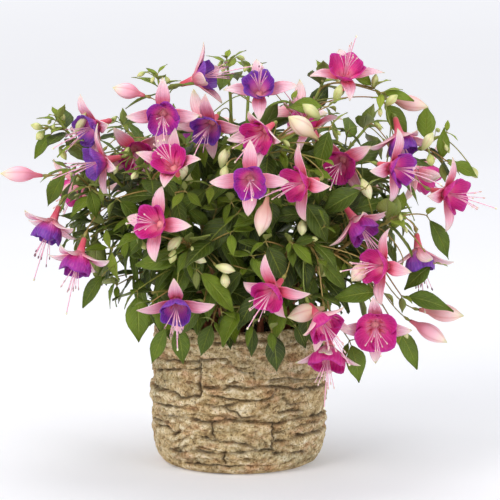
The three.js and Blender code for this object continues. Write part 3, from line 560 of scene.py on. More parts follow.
def add_crumbs(soil):
    """Joins small uneven lumps to the soil, spread evenly over its top."""
    deselect_all()
    bpy.ops.mesh.primitive_ico_sphere_add(subdivisions=1, radius=MM)
    crumb = bpy.context.object
    pieces = [soil]
    for i in range(CRUMBS):
        angle = CRUMB_TURN * i
        reach = (POT_MOUTH_RADIUS - 6) * math.sqrt((i + 0.5) / CRUMBS)
        x, y = reach * math.cos(angle), reach * math.sin(angle)
        wide, deep, high = (between(CRUMB_SMALLEST, CRUMB_LARGEST, i, axis) for axis in range(3))
        copy = crumb.copy()
        copy.data = crumb.data.copy()
        bpy.context.scene.collection.objects.link(copy)
        for vertex in copy.data.vertices:
            vertex.co = (vertex.co.x * wide + x * MM, vertex.co.y * deep + y * MM,
                         vertex.co.z * high * CRUMB_FLATNESS + soil_height(x, y) * MM)
        pieces.append(copy)
    bpy.data.objects.remove(crumb)
    deselect_all()
    for piece in pieces:
        piece.select_set(True)
    bpy.context.view_layer.objects.active = soil
    bpy.ops.object.join()


def soil_mesh():
    """A plug as wide as the planter's inside, whose top is inset to rings and then made uneven."""
    deselect_all()
    bottom = POT_FLOOR + SOIL_CLEARANCE
    top = SOIL_LEVEL
    bpy.ops.mesh.primitive_cone_add(
        vertices=SOIL_COLUMNS, radius1=(inner_radius(bottom) - SOIL_CLEARANCE) * MM,
        radius2=(inner_radius(top) - SOIL_CLEARANCE) * MM, depth=(top - bottom) * MM,
        end_fill_type="NGON", location=(0, 0, (top + bottom) / 2 * MM))
    soil = bpy.context.object
    bpy.ops.object.transform_apply(location=True)
    for face in soil.data.polygons:
        face.select = face.normal.z > 0.9
    bpy.ops.object.mode_set(mode="EDIT")
    for _ in range(SOIL_RINGS):
        bpy.ops.mesh.inset(thickness=inner_radius(top) / (SOIL_RINGS + 1) * MM)
    bpy.ops.object.mode_set(mode="OBJECT")
    edge = inner_radius(top) - 2
    for vertex in soil.data.vertices:
        x, y, z = vertex.co / MM
        if z > top - 0.1 and math.hypot(x, y) < edge:
            vertex.co.z = soil_height(x, y) * MM
    add_crumbs(soil)
    soil.data.shade_smooth()
    return soil


def soil_material():
    """Compost: dark brown crumbs of uneven shade, rough all over."""
    material, tree, shader = new_material("potting_compost", Roughness=0.95)
    crumbly = grain(tree, 160, 520, 0.5)
    tone = ramp(tree, crumbly, ((0.35, (22, 15, 10)), (0.5, (48, 34, 24)), (0.62, (74, 54, 38))))
    dress(tree, shader, tone, bump(tree, crumbly, 1.0, 0.002))
    return material


soil = soil_mesh()
soil.name = "potting_soil_surface"
soil.data.materials.append(soil_material())
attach(soil, "root")
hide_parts("potting_soil")


# Stems. Fourteen main stems rise from the soil, brown and woody low down and green near the tips,
# with a slight swelling at each pair of leaves, and bear thinner side shoots of the same wood.

HOLE_DEPTH = 34
CROWN_RISE = 4
GAP = 0.3
FOOT_RADIUS = 3
STEM_TIP_RADIUS = 1.4
STEM_BURIED = 0.6
STEM_SWAY = 0.7
LEAF_PAIRS_SWELL = 0.28
SHOOT_LENGTH = 66
SHOOT_FIRST = 0.24
SHOOT_SPREAD = 0.5
SHOOT_TURN = 2.4
SHOOT_TRIES = 10
SHOOT_TRY_TURN = 0.7
SHOOT_TRY_SHORTER = 0.04
MATCH = 0.12
STEM_RINGS = 44
SHOOT_RINGS = 10
SHOOT_THICK = 1.5
SHOOT_THIN = 1.1
WOODY_BELOW = 170
GREEN_OVER = 120

# Each main stem: where it leaves the soil, the point it rises towards, the point where it arches
# over, its tip, and how many side shoots the CAD model gives it
STEMS = [
    ("left_low", (-50, -12), (-56, -16, 190), (-105, -40, 250), (-150, -18, 282), 2),
    ("left_high", (-36, 10), (-40, 14, 240), (-140, -14, 285), (-181, -26, 352), 2),
    ("left_top", (-22, -12), (-26, -14, 250), (-62, -48, 320), (-80, -62, 398), 1),
    ("front_left", (-31, -36), (-38, -46, 215), (-66, -82, 262), (-92, -92, 312), 1),
    ("front_low", (-14, -52), (-20, -64, 190), (-26, -88, 232), (-52, -118, 240), 2),
    ("front_mid", (2, -28), (3, -36, 240), (14, -76, 290), (34, -104, 338), 1),
    ("top", (-4, 2), (-5, 4, 280), (-6, -8, 350), (-12, -6, 406), 1),
    ("front_right", (19, -50), (24, -62, 190), (42, -92, 236), (68, -112, 238), 2),
    ("right_low", (42, -34), (52, -42, 195), (100, -76, 236), (158, -88, 262), 1),
    ("right_high", (48, -4), (58, -8, 220), (120, -30, 290), (206, -14, 334), 2),
    ("right_top", (22, -6), (27, -6, 270), (62, -10, 335), (88, 6, 392), 1),
    ("back_left", (-28, 38), (-36, 50, 215), (-82, 84, 290), (-120, 104, 326), 2),
    ("back_mid", (4, 34), (6, 44, 250), (6, 74, 340), (12, 88, 386), 3),
    ("back_right", (36, 34), (46, 46, 225), (98, 78, 292), (136, 98, 330), 2),
]


class Bezier:
    """A cubic curve through four points; it goes on past both ends."""

    def __init__(self, *points):
        self.points = [Vector(point) for point in points]

    def at(self, t):
        a, b, c, d = self.points
        s = 1 - t
        return a * s ** 3 + b * 3 * s * s * t + c * 3 * s * t * t + d * t ** 3

    def length(self):
        points = [self.at(i / 200) for i in range(201)]
        return sum((q - p).length for p, q in zip(points, points[1:]))

    def direction(self, t):
        return (self.at(t + 0.01) - self.at(t - 0.01)).normalized()


class StemCurve(Bezier):
    """A main stem: the curve above the soil, and straight down to the foot below 0."""

    def __init__(self, foot, rise, arch, tip):
        super().__init__((*foot, SOIL_LEVEL + CROWN_RISE), rise, arch, tip)
        self.bottom = Vector((*foot, SOIL_LEVEL - HOLE_DEPTH + GAP))

    def at(self, t):
        if t < 0:
            return self.points[0].lerp(self.bottom, -t)
        return super().at(t)


def around(axis, angle):
    """A direction square to the axis; angle 0 is the side nearest to straight up."""
    reference = Vector((0, 1, 0)) if abs(axis.z) > 0.95 else Vector((0, 0, 1))
    across = axis.cross(reference).normalized()
    upward = across.cross(axis)
    return upward * math.cos(angle) + across * math.sin(angle)


# The CAD model tries several places for each piece and takes the first that is clear. The next
# functions find the same place again, by the corner points that the CAD node then has


def corner_tree(node):
    """The corner points of a CAD node, ready to be searched."""
    corners = frame["nodes"][node].data.vertices
    tree = kdtree.KDTree(len(corners))
    for i, corner in enumerate(corners):
        tree.insert(corner.co / MM, i)
    tree.balance()
    return tree


def has_corners(tree, points):
    return all(tree.find(point)[2] < MATCH for point in points)


def shoot_curve(curve, t, angle, length):
    """A side shoot: out from its stem, then bending forwards and a little down."""
    root = curve.at(t)
    forward = curve.direction(t)
    out = around(forward, angle)
    end = root + out * length * 0.85 + forward * length * 0.45
    end.z -= length * 0.12
    return Bezier(root, root + out * length * 0.3,
                  root + out * length * 0.6 + forward * length * 0.3, end)


def cad_shoots(number, curve, shoots, tree):
    """The side shoots that the CAD node has, found by their ends."""
    found = []
    for i in range(shoots):
        t = SHOOT_FIRST + SHOOT_SPREAD * i / shoots
        for attempt in range(SHOOT_TRIES):
            shoot = shoot_curve(curve, t, SHOOT_TURN * i + number + SHOOT_TRY_TURN * attempt,
                                SHOOT_LENGTH * (1 - SHOOT_TRY_SHORTER * attempt))
            if has_corners(tree, [shoot.at(1)]):
                found.append(shoot)
                break
    return found


class Pattern:
    """A shape that is modelled once and copied: its points, faces and picture coordinates."""

    def __init__(self, model):
        mesh = model.data
        self.points = np.array([vertex.co[:] for vertex in mesh.vertices])
        self.faces = [tuple(face.vertices) for face in mesh.polygons]
        self.corners = np.array([i for face in self.faces for i in face])
        self.under = np.zeros(len(self.points))
        flat = np.zeros(len(mesh.loops) * 2)
        mesh.uv_layers[0].data.foreach_get("uv", flat)
        self.uv = flat.reshape(-1, 2)
        bpy.data.objects.remove(model)


class Store:
    """Collects copies of patterns and makes one piece of them, each piece with its own mesh."""

    def __init__(self):
        self.points, self.faces, self.uv, self.tints, self.finishes = [], [], [], [], []
        self.under = []
        self.count = 0

    def add(self, pattern, points, tint=0.5, finish=0):
        self.faces += [tuple(i + self.count for i in face) for face in pattern.faces]
        self.finishes += [finish] * len(pattern.faces)
        self.points.append(points)
        self.uv.append(pattern.uv)
        self.under.append(pattern.under)
        self.tints += np.broadcast_to(tint, len(points)).tolist()
        self.count += len(points)

    def add_tube(self, pattern, path, radii, tint=0.5, finish=0):
        self.add(pattern, along_path(pattern, path, radii), tint, finish)

    def add_blade(self, pattern, surface, thickness, tint):
        self.add(pattern, on_surface(pattern, surface, thickness), tint)

    def add_twig(self, curve, thick, thin, tint):
        """A side shoot or twig, which gets evenly thinner along its curve."""
        shares = [i / (SHOOT_RINGS - 1) for i in range(SHOOT_RINGS)]
        radii = [thick + (thin - thick) * share for share in shares]
        self.add_tube(SHOOT_TUBE, [curve.at(share) for share in shares], radii, tint)

    def make(self, name, materials, slot, node):
        """Makes the piece, gives it its materials, joins it to the part's root body and hides the
        CAD node that it stands for.
        """
        deselect_all()
        bpy.ops.mesh.primitive_plane_add(size=1)
        piece = bpy.context.object
        mesh = piece.data
        mesh.clear_geometry()
        while mesh.uv_layers:
            mesh.uv_layers.remove(mesh.uv_layers[0])
        mesh.from_pydata((np.concatenate(self.points) * MM).tolist(), [], self.faces)
        mesh.uv_layers.new(name="UVMap").data.foreach_set("uv", np.concatenate(self.uv).ravel())
        add_marks(mesh, "tint", self.tints)
        add_marks(mesh, "under", np.concatenate(self.under))
        for material in materials:
            mesh.materials.append(material)
        mesh.polygons.foreach_set("material_index", self.finishes)
        mesh.shade_smooth()
        mesh.update()
        piece.name = name
        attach(piece, "root")
        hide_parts(node)


def tube_pattern(sides, rings):
    """A closed tube of even rings: across is x and y from -1 to 1, along is z from 0 to 1.
    Its picture coordinates are 1 on four lines along it and 0 between them, and the way along."""
    deselect_all()
    bpy.ops.mesh.primitive_cylinder_add(vertices=sides, radius=1, depth=1, location=(0, 0, 0.5),
                                        end_fill_type="NGON")
    tube = bpy.context.object
    bpy.ops.object.transform_apply(location=True)
    bpy.context.tool_settings.mesh_select_mode = (False, True, False)
    for part in list(tube.data.polygons) + list(tube.data.vertices):
        part.select = False
    for edge in tube.data.edges:
        low, high = (tube.data.vertices[i].co.z for i in edge.vertices)
        edge.select = abs(low - high) > 0.5
    bpy.ops.object.mode_set(mode="EDIT")
    bpy.ops.mesh.subdivide(number_cuts=rings - 2)
    bpy.ops.object.mode_set(mode="OBJECT")
    made = Pattern(tube)
    x, y, z = made.points[made.corners].T
    made.uv = np.stack((0.5 + 0.5 * np.cos(4 * np.arctan2(y, x)), z), axis=1)
    return made


def along_path(pattern, path, radii):
    """A tube pattern laid along a path of points, with a radius at each."""
    rings = len(path)
    frames = []
    normal = None
    for i, centre in enumerate(path):
        forward = (path[min(i + 1, rings - 1)] - path[max(i - 1, 0)]).normalized()
        normal = around(forward, 0) if normal is None else (
            normal - forward * normal.dot(forward)).normalized()
        frames.append((centre, normal, forward.cross(normal)))
    number = np.rint(pattern.points[:, 2] * (rings - 1)).astype(int)
    centres, normals, sides = (np.array([frame[k][:] for frame in frames])[number]
                               for k in range(3))
    radius = np.array(radii)[number][:, None]
    return (centres + normals * pattern.points[:, :1] * radius
            + sides * pattern.points[:, 1:2] * radius)


def stem_material():
    """Bark: red-brown low down and green near the tips, streaked along the stem."""
    material, tree, shader = new_material("stem_bark", Roughness=0.6)
    streak = grain(tree, 260, 700, 0.4, (1, 1, 0.25))
    green = ramp(tree, streak, ((0.35, (108, 126, 42)), (0.6, (150, 160, 68))))
    brown = ramp(tree, streak, ((0.35, (122, 58, 40)), (0.6, (184, 108, 78))))
    tone = blend(tree, attribute(tree, "tint"), brown, green)
    dress(tree, shader, tone, bump(tree, streak, 0.5, 0.0005))
    return material


STEM_TUBE = tube_pattern(8, STEM_RINGS)
SHOOT_TUBE = tube_pattern(6, SHOOT_RINGS)
STEM_BARK = stem_material()


def stem_path(curve, number):
    """A main stem from in its hole to its tip: a little crooked, and thicker at the leaf pairs."""
    path, radii = [], []
    for i in range(STEM_RINGS):
        t = -STEM_BURIED + (1 + STEM_BURIED) * i / (STEM_RINGS - 1)
        sway = STEM_SWAY if t > 0 else 0
        crook = [noise.noise(Vector((t * 7, number, axis))) * sway for axis in range(3)]
        path.append(curve.at(t) + Vector(crook))
        thick = FOOT_RADIUS + (STEM_TIP_RADIUS - FOOT_RADIUS) * max(t, 0)
        swelling = LEAF_PAIRS_SWELL * max(0, math.cos(t * math.pi * 12)) ** 8 if t > 0.1 else 0
        radii.append(thick * (0.9 + swelling))
    radii[-1] = 0.5
    return path, radii


class Stem:
    """A main stem with its side shoots, as the CAD node has them, and what is collected for it."""

    def __init__(self, number, name, foot, rise, arch, tip, shoots):
        self.number, self.name, self.node = number, name, "stem_" + name
        self.tree = corner_tree(self.node)
        self.curve = StemCurve(foot, rise, arch, tip)
        self.shoots = cad_shoots(number, self.curve, shoots, self.tree)
        self.wood, self.stalks, self.buds, self.leaves = Store(), Store(), Store(), Store()
        points = along_path(STEM_TUBE, *stem_path(self.curve, number))
        green = np.clip((points[:, 2] - WOODY_BELOW) / GREEN_OVER, 0, 1)
        self.wood.add(STEM_TUBE, points, green)
        for shoot in self.shoots:
            self.wood.add_twig(shoot, SHOOT_THICK, SHOOT_THIN, 0.75)


STEM_LIST = [Stem(number, *values) for number, values in enumerate(STEMS)]
STEM_BY_NAME = {stem.name: stem for stem in STEM_LIST}


# Flowers. Each open flower is a calyx, a coral tube with four pale pink sepals that fold back from
# its mouth, and a corolla of four overlapping petals, violet when young and magenta when older,
# with eight pink filaments, their anthers, and one longer style. Each grows on its own stalk.

TUBE_LENGTH = 15
TUBE_RADIUS = 4.6
SEPAL_LENGTH = 35
SEPAL_WIDTH = 14.8
SEPAL_THICKNESS = 0.55
CAD_SEPAL_THICKNESS = 0.8
COROLLA_REACH = 20
PETAL_MOUTH_RADIUS = 3.3
PETAL_REACH_OUT = {"violet": 15.6, "purple": 16.2, "magenta": 17}
PETAL_SPREAD = math.radians(64)
PETAL_THICKNESS = 0.35
STYLE_LENGTH = 60
STYLE_RADIUS = 0.55
STIGMA_SIZE = (1.5, 1.15)
STAMENS = 8
SEPALS = 4
STAMEN_LENGTH = 44
STAMEN_RADIUS = 0.36
ANTHER_SIZE = (1.7, 0.85)
THREAD_RINGS = 7
BLOOM_TRIES = 12
BLOOM_TURN = 0.23
BLOOM_LAST_TURN = 0.6
ENOUGH_CORNERS = 6
SEPARATE_BLOOMS = 22
# How much wider than their kind some flowers have opened, by their number
WIDE_OPEN = {8: 1.08, 9: 1.28, 10: 1.12, 15: 1.08}

# Each open flower: the middle of its mouth, the way it faces, its stem, the place along that stem
# where its stalk leaves, the colour of its petals, and how far its sepals fold back in degrees.
# The first SEPARATE_BLOOMS are nodes of their own in the CAD model, the others part of their stem
BLOOMS = [
    ((-73, -112, 367), (0, -0.95, -0.2), "left_top", 0.72, "purple", 92),
    ((-129, -72, 315), (-0.9, -0.4, -0.15), "left_high", 0.6, "violet", 96),
    ((-183, -42, 251), (-0.35, -0.3, -0.85), "left_low", 0.92, "violet", 94),
    ((-155, -84, 226), (-0.25, -0.4, -0.85), "left_low", 0.75, "purple", 88),
    ((-76, -134, 262), (-0.5, -0.8, 0.25), "front_left", 0.62, "magenta", 98),
    ((-60, -156, 191), (0, -0.83, -0.55), "front_low", 0.9, "violet", 86),
    ((35, -158, 204), (-0.45, -0.75, -0.4), "front_right", 0.7, "magenta", 104),
    ((76, -150, 176), (0.5, -0.6, -0.6), "front_right", 0.92, "magenta", 60),
    ((133, -118, 160), (0, -0.95, -0.25), "right_low", 0.6, "magenta", 82),
    ((88, -112, 138), (-0.1, -0.5, -0.85), "front_right", 0.8, "magenta", 66),
    ((143, -132, 221), (-0.75, -0.6, 0.1), "right_low", 0.82, "magenta", 100),
    ((176, -74, 228), (0.1, -0.3, -0.9), "right_low", 0.97, "violet", 70),
    ((201, -60, 281), (0.8, -0.6, -0.1), "right_high", 0.8, "magenta", 92),
    ((147, -100, 313), (0.75, -0.6, -0.1), "right_high", 0.62, "purple", 96),
    ((104, -34, 390), (0.1, -0.5, 0.75), "right_top", 0.8, "magenta", 90),
    ((20, -68, 380), (0, -0.7, 0.6), "top", 0.78, "violet", 84),
    ((-26, -84, 354), (-0.3, -0.8, -0.3), "top", 0.62, "violet", 84),
    ((26, -122, 352), (-0.5, -0.75, -0.3), "front_mid", 0.9, "magenta", 60),
    ((-62, -140, 318), (-0.25, -0.7, 0.6), "front_left", 0.85, "magenta", 62),
    ((11, -166, 312), (0, -1, -0.1), "front_mid", 0.75, "purple", 96),
    ((66, -138, 304), (-0.75, -0.62, -0.05), "front_mid", 0.97, "magenta", 92),
    ((-44, -58, 392), (0.85, -0.2, 0.3), "left_top", 0.85, "violet", 62),
    ((-138, -46, 346), (-0.7, -0.6, -0.2), "left_high", 0.8, "violet", 78),
    ((158, -30, 336), (0.2, -0.4, -0.8), "right_high", 0.74, "violet", 80),
    ((-160, 86, 268), (-0.6, 0.3, -0.7), "back_left", 0.8, "magenta", 92),
    ((-100, 146, 262), (-0.2, 0.75, -0.6), "back_left", 0.95, "violet", 88),
    ((-38, 142, 322), (-0.3, 0.85, -0.4), "back_mid", 0.78, "purple", 94),
    ((56, 138, 334), (0.4, 0.8, -0.4), "back_mid", 0.92, "magenta", 92),
    ((112, 144, 262), (0.1, 0.75, -0.65), "back_right", 0.8, "violet", 90),
    ((180, 80, 282), (0.7, 0.35, -0.6), "back_right", 0.94, "magenta", 92),
]
# Further flowers that show in part between these, in the same form
MORE_BLOOMS = [
    ((112, -100, 262), (0.55, -0.45, -0.7), "right_low", 0.7, "purple", 80),
    ((102, -64, 314), (-0.25, -0.85, -0.25), "right_high", 0.5, "magenta", 92),
    ((72, -44, 340), (-0.5, -0.3, 0.8), "right_top", 0.6, "magenta", 96),
    ((-104, -20, 318), (0.15, -0.85, -0.3), "left_top", 0.6, "magenta", 90),
]


def blade_pattern(columns, rows):
    """A flat blade with both faces: across is x from -1 to 1, along is y from 0 to 1, up is z."""
    deselect_all()
    bpy.ops.mesh.primitive_grid_add(x_subdivisions=columns, y_subdivisions=rows, size=2)
    blade = bpy.context.object
    bpy.ops.object.mode_set(mode="EDIT")
    bpy.ops.mesh.select_all(action="SELECT")
    bpy.ops.transform.resize(value=(1, 0.5, 1))
    bpy.ops.transform.translate(value=(0, 0.5, 0))
    bpy.ops.object.mode_set(mode="OBJECT")
    bpy.ops.object.modifier_add(type="SOLIDIFY")
    blade.modifiers[0].thickness = 2
    blade.modifiers[0].offset = 0
    bpy.ops.object.modifier_apply(modifier=blade.modifiers[0].name)
    made = Pattern(blade)
    made.under = (made.points[:, 2] < 0).astype(float)
    return made


def on_surface(pattern, surface, thickness):
    """A blade pattern laid on a curved surface, a function of across and along."""
    across, along, up = pattern.points.T
    step = 0.01
    point = surface(across, along)
    d_across = surface(across + step, along) - surface(across - step, along)
    d_along = surface(across, along + step) - surface(across, along - step)
    normal = np.cross(d_across, d_along)
    normal /= np.maximum(np.linalg.norm(normal, axis=1, keepdims=True), 1e-9)
    return point + normal * (up * thickness / 2)[:, None]


class Flower:
    """The directions of one flower: its throat, its axis, and the ways out from the axis."""

    def __init__(self, throat, facing, roll):
        self.throat, self.axis, self.roll = Vector(throat), Vector(facing).normalized(), roll

    def out(self, angle):
        return around(self.axis, angle + self.roll)

    def sepal_tip(self, angle, fold):
        """The tip of the CAD model's plain sepal, and the way that its face turns there."""
        out = self.out(angle)

        def lean(degrees):
            turn = math.radians(degrees)
            return out * math.sin(turn) + self.axis * math.cos(turn)

        middle = self.throat + out * TUBE_RADIUS + lean(fold * 0.8) * SEPAL_LENGTH * 0.46
        tip = middle + lean(fold * 1.15) * SEPAL_LENGTH * 0.54
        return tip, lean(fold * 1.15 - 90)

    def ways(self):
        """The axis and two ways square to it as rows of numbers."""
        return np.array([self.axis[:], self.out(0)[:], self.out(math.pi / 2)[:]])


def cad_flower(throat, facing, fold, tree):
    """The flower turned about its axis as the CAD node has it, found by its sepals' corners."""
    for attempt in range(BLOOM_TRIES):
        flower = Flower(throat, facing, BLOOM_TURN * attempt)
        corners = []
        for i in range(SEPALS):
            tip, face = flower.sepal_tip(i * math.pi / 2, fold)
            corners += [tip + face * CAD_SEPAL_THICKNESS / 2, tip - face * CAD_SEPAL_THICKNESS / 2]
        if sum(tree.find(corner)[2] < MATCH for corner in corners) >= ENOUGH_CORNERS:
            return flower
    return Flower(throat, facing, BLOOM_LAST_TURN)


def round_axis(flower, angle, radius, forward):
    """Points at angles, radii and distances forward in a flower's own directions."""
    axis, first, second = flower.ways()
    angle, radius, forward = (value[:, None] for value in np.broadcast_arrays(
        angle, radius, forward))
    return (np.array(flower.throat[:]) + axis * forward
            + (first * np.cos(angle) + second * np.sin(angle)) * radius)


def sepal_surface(flower, angle, fold, seed):
    """A sepal: a channelled strip that leaves the mouth, folds back and ends in a point."""
    steps = 60
    along_steps = np.linspace(-0.02, 1.02, steps)
    early = np.clip(along_steps / 0.14, 0, 1)
    late = np.clip((along_steps - 0.46) / 0.54, 0, 1)
    lean = np.radians(fold) * (0.3 + 0.5 * early + between(0.3, 0.56, seed, 5) * late)
    length = SEPAL_LENGTH * between(0.92, 1.04, seed, 1)
    stride = length * (along_steps[1] - along_steps[0])
    outward = TUBE_RADIUS - 0.3 + np.cumsum(np.sin(lean)) * stride
    forward = -0.6 + np.cumsum(np.cos(lean)) * stride
    twist = between(-0.5, 0.5, seed, 2)
    stray = between(-3.5, 3.5, seed, 4)
    axis, _, _ = flower.ways()
    out = np.array(flower.out(angle)[:])
    side = np.cross(axis, out)

    def surface(across, along):
        wide = SEPAL_WIDTH / 2 * np.interp(along, (0, 0.1, 0.25, 0.42, 0.62, 0.8, 0.92, 1, 1.02),
                                           (0.6, 0.7, 0.9, 1, 0.87, 0.56, 0.27, 0.03, 0.02))
        here_out = np.interp(along, along_steps, outward)
        here_forward = np.interp(along, along_steps, forward)
        here_lean = np.interp(along, along_steps, lean)
        channel = wide * (0.30 + 0.25 * np.clip(1 - along / 0.25, 0, 1)) * across ** 2
        channel += wide * (0.1 * np.cos(across * 7) - 0.1)
        turned = twist * along ** 2
        sideways = wide * across * np.cos(turned) + stray * along ** 2
        lift = channel + wide * across * np.sin(turned)
        inner_out, inner_forward = -np.cos(here_lean), np.sin(here_lean)
        return (np.array(flower.throat[:])
                + out * (here_out + inner_out * lift)[:, None]
                + axis * (here_forward + inner_forward * lift)[:, None]
                + side * sideways[:, None])

    return surface


def petal_surface(flower, middle, spread, wide, seed):
    """A petal: narrow at the mouth, then a smooth cup with a round rim, one edge over the next.
    A flower that hangs down is a closed bell, and one that faces outwards is open."""
    first, second = (between(0, 2 * math.pi, seed, key) for key in (1, 2))
    is_open = min(1, max(0, (flower.axis.z + 0.8) / 0.5))
    flare = between(0.4, 1.6, seed, 4) - 2.2 * (1 - is_open)
    reach = COROLLA_REACH * (1.14 - 0.16 * is_open) * between(0.94, 1.04, seed, 5)
    notch = 0.24 + 0.16 * is_open

    def surface(across, along):
        angle = middle + across * spread * (0.6 + 0.4 * np.clip(along, 0, 1))
        rim = np.clip((along - 0.5) / 0.5, 0, 1.1) ** 2
        lobe = 1 - notch * np.abs(across) ** 2.3 * np.clip(along, 0, 1)
        cup = 1 - np.clip(1 - along, 0, 1.1) ** (2.4 - is_open)
        ripple = 1.3 * np.sin(across * 4.6 + first) + 0.5 * np.sin(across * 9 + second)
        radius = (PETAL_MOUTH_RADIUS + (wide - PETAL_MOUTH_RADIUS) * cup * lobe
                  + 1.1 * across * along + rim * (flare + ripple))
        forward = reach * along * lobe + 0.9 * rim * np.sin(across * 6 + second)
        return round_axis(flower, angle, radius, forward)

    return surface


def calyx_tube(flower, start):
    """The tube's points: rings from the ovary to the mouth, a little four-sided."""
    x, y, z = TUBE_PATTERN.points.T
    forward = -(TUBE_LENGTH + start) * (1 - z) + 0.2 * z
    angle = np.arctan2(y, x)
    wide = np.interp(z, (0, 0.12, 0.4, 0.75, 1), (1.9, 2.7, 3.0, 3.9, TUBE_RADIUS))
    ribs = 1 + 0.06 * np.cos(4 * angle) * z
    return round_axis(flower, angle, wide * ribs, forward)


def thread_path(flower, angle, spread, length, sag, seed):
    """A filament or style: out of the throat, spreading a little and bending down by its weight."""
    way, aside = flower.out(angle), flower.out(angle + 1.5) * between(-2.5, 2.5, seed, 7)
    path = []
    for i in range(THREAD_RINGS):
        t = i / (THREAD_RINGS - 1)
        point = flower.throat + flower.axis * (4 + (length - 4) * t) + way * spread * t ** 1.3
        point.z -= sag * t ** 2
        path.append(point + aside * t * t)
    return path


def ellipsoid_copy(pattern, place, forward, long, wide):
    """A small round body at a place, long along a direction."""
    side = around(forward, 0)
    other = forward.cross(side)
    ways = np.array([side[:], other[:], forward[:]])
    return np.array(place[:]) + (pattern.points * (wide, wide, long)) @ ways


def ball_pattern():
    """A small ball, a little flat on two sides."""
    deselect_all()
    bpy.ops.mesh.primitive_uv_sphere_add(segments=8, ring_count=6, radius=1)
    ball = bpy.context.object
    bpy.ops.object.mode_set(mode="EDIT")
    bpy.ops.mesh.select_all(action="SELECT")
    bpy.ops.transform.resize(value=(1, 0.8, 1))
    bpy.ops.object.mode_set(mode="OBJECT")
    return Pattern(ball)


TUBE_PATTERN = tube_pattern(16, 9)
SEPAL_PATTERN = blade_pattern(6, 10)
PETAL_PATTERN = blade_pattern(11, 7)
THREAD_TUBE = tube_pattern(5, THREAD_RINGS)
BALL = ball_pattern()


def mottled(tree, value, patch, amount):
    """A value moved a little up and down by a patchy one that runs from 0 to 1."""
    away = math_node(tree, "SUBTRACT", patch, 0.5)
    return math_node(tree, "ADD", value, scaled(tree, away, amount))


def rib_group():
    """Ribs: fine lines that run along a blade and spread with it, from its picture coordinates."""
    group, given = new_group("ribs", "UV", ("Count",), ("Value",))
    across = add_node(group, "ShaderNodeSeparateXYZ", {"Vector": given["UV"]}).outputs["X"]
    branch = add_node(group, "ShaderNodeTexNoise", {
        "Vector": given["UV"], "Scale": 7.0, "Detail": 2.0})
    across = mottled(group, across, branch.outputs[0], 0.12)
    wave = math_node(group, "SINE", math_node(group, "MULTIPLY", across, given["Count"]))
    line = math_node(group, "POWER", math_node(group, "ABSOLUTE", wave), 3.0)
    add_node(group, "NodeGroupOutput", {"Value": line})
    return group


RIBS = rib_group()


def blade_places(tree):
    """A blade's picture coordinates, and the ways across and along it that they hold."""
    uv = add_node(tree, "ShaderNodeUVMap", uv_map="UVMap").outputs["UV"]
    parts = add_node(tree, "ShaderNodeSeparateXYZ", {"Vector": uv}).outputs
    return uv, parts["X"], parts["Y"]


def ribs(tree, uv, count):
    made = add_node(tree, "ShaderNodeGroup", {"UV": uv, "Count": count}, node_tree=RIBS)
    return made.outputs["Value"]


def sepal_material(name, inside, outside, line_count):
    """Sepal or tube skin: colours along its inner and its outer face, and fine lengthwise lines."""
    material, tree, shader = new_material(
        name, Roughness=0.42, Subsurface_Weight=0.2, Subsurface_Scale=0.003,
        Subsurface_Radius=(1.0, 0.5, 0.4), Sheen_Weight=0.05)
    uv, _, along = blade_places(tree)
    patch = grain(tree, 120, 500, 0.3)
    reach = mottled(tree, along, patch, 0.35)
    tone = blend(tree, attribute(tree, "under"), ramp(tree, reach, outside),
                 ramp(tree, reach, inside))
    tone = blend(tree, scaled(tree, attribute(tree, "tint"), 0.35), tone, (226, 78, 118))
    line = ribs(tree, uv, line_count)
    tone = blend(tree, scaled(tree, line, 0.25), tone, (222, 84, 122))
    dress(tree, shader, tone, bump(tree, line, 0.35, 0.0006), scaled(tree, patch, 0.2, 0.32))
    return material


def between_paints(first, second, share):
    return tuple(a + (b - a) * share for a, b in zip(paint(*first), paint(*second)))


def petal_material(name, throat, glow, body, rim, light):
    """Petal skin: a pale throat with darker veins, a deep body, a rim, and paler veins on both."""
    material, tree, shader = new_material(
        name, Roughness=0.5, Subsurface_Weight=0.15, Subsurface_Scale=0.003,
        Subsurface_Radius=(1.0, 0.4, 0.8), Sheen_Weight=0.06)
    uv, _, along = blade_places(tree)
    patch = grain(tree, 90, 420, 0.35)
    reach = mottled(tree, along, patch, 0.4)
    tone = ramp(tree, reach, ((0.12, throat), (0.4, glow), (0.66, body), (0.88, body), (1.0, rim)))
    line = ribs(tree, uv, 30)
    vein = ramp(tree, along, ((0.15, glow), (0.5, light), (1.0, between_paints(light, rim, 0.6))))
    tone = blend(tree, scaled(tree, line, 0.5), tone, vein)
    tone = blend(tree, scaled(tree, attribute(tree, "tint"), 0.3), tone, rim)
    outside = math_node(tree, "SUBTRACT", 1.0, attribute(tree, "under"))
    tone = blend(tree, scaled(tree, outside, 0.1), tone, light)
    dress(tree, shader, tone, bump(tree, line, 0.4, 0.0006), scaled(tree, patch, 0.25, 0.36))
    return material


def plain_plant_material(name, low, high, roughness):
    """A soft plant skin between two colours, mottled by the grain."""
    material, tree, shader = new_material(name, Roughness=roughness, Subsurface_Weight=0.1,
                                          Subsurface_Scale=0.002)
    spots = grain(tree, 240, 900, 0.4)
    tone = ramp(tree, spots, ((0.35, low), (0.62, high)))
    dress(tree, shader, tone, bump(tree, spots, 0.4, 0.0004))
    return material


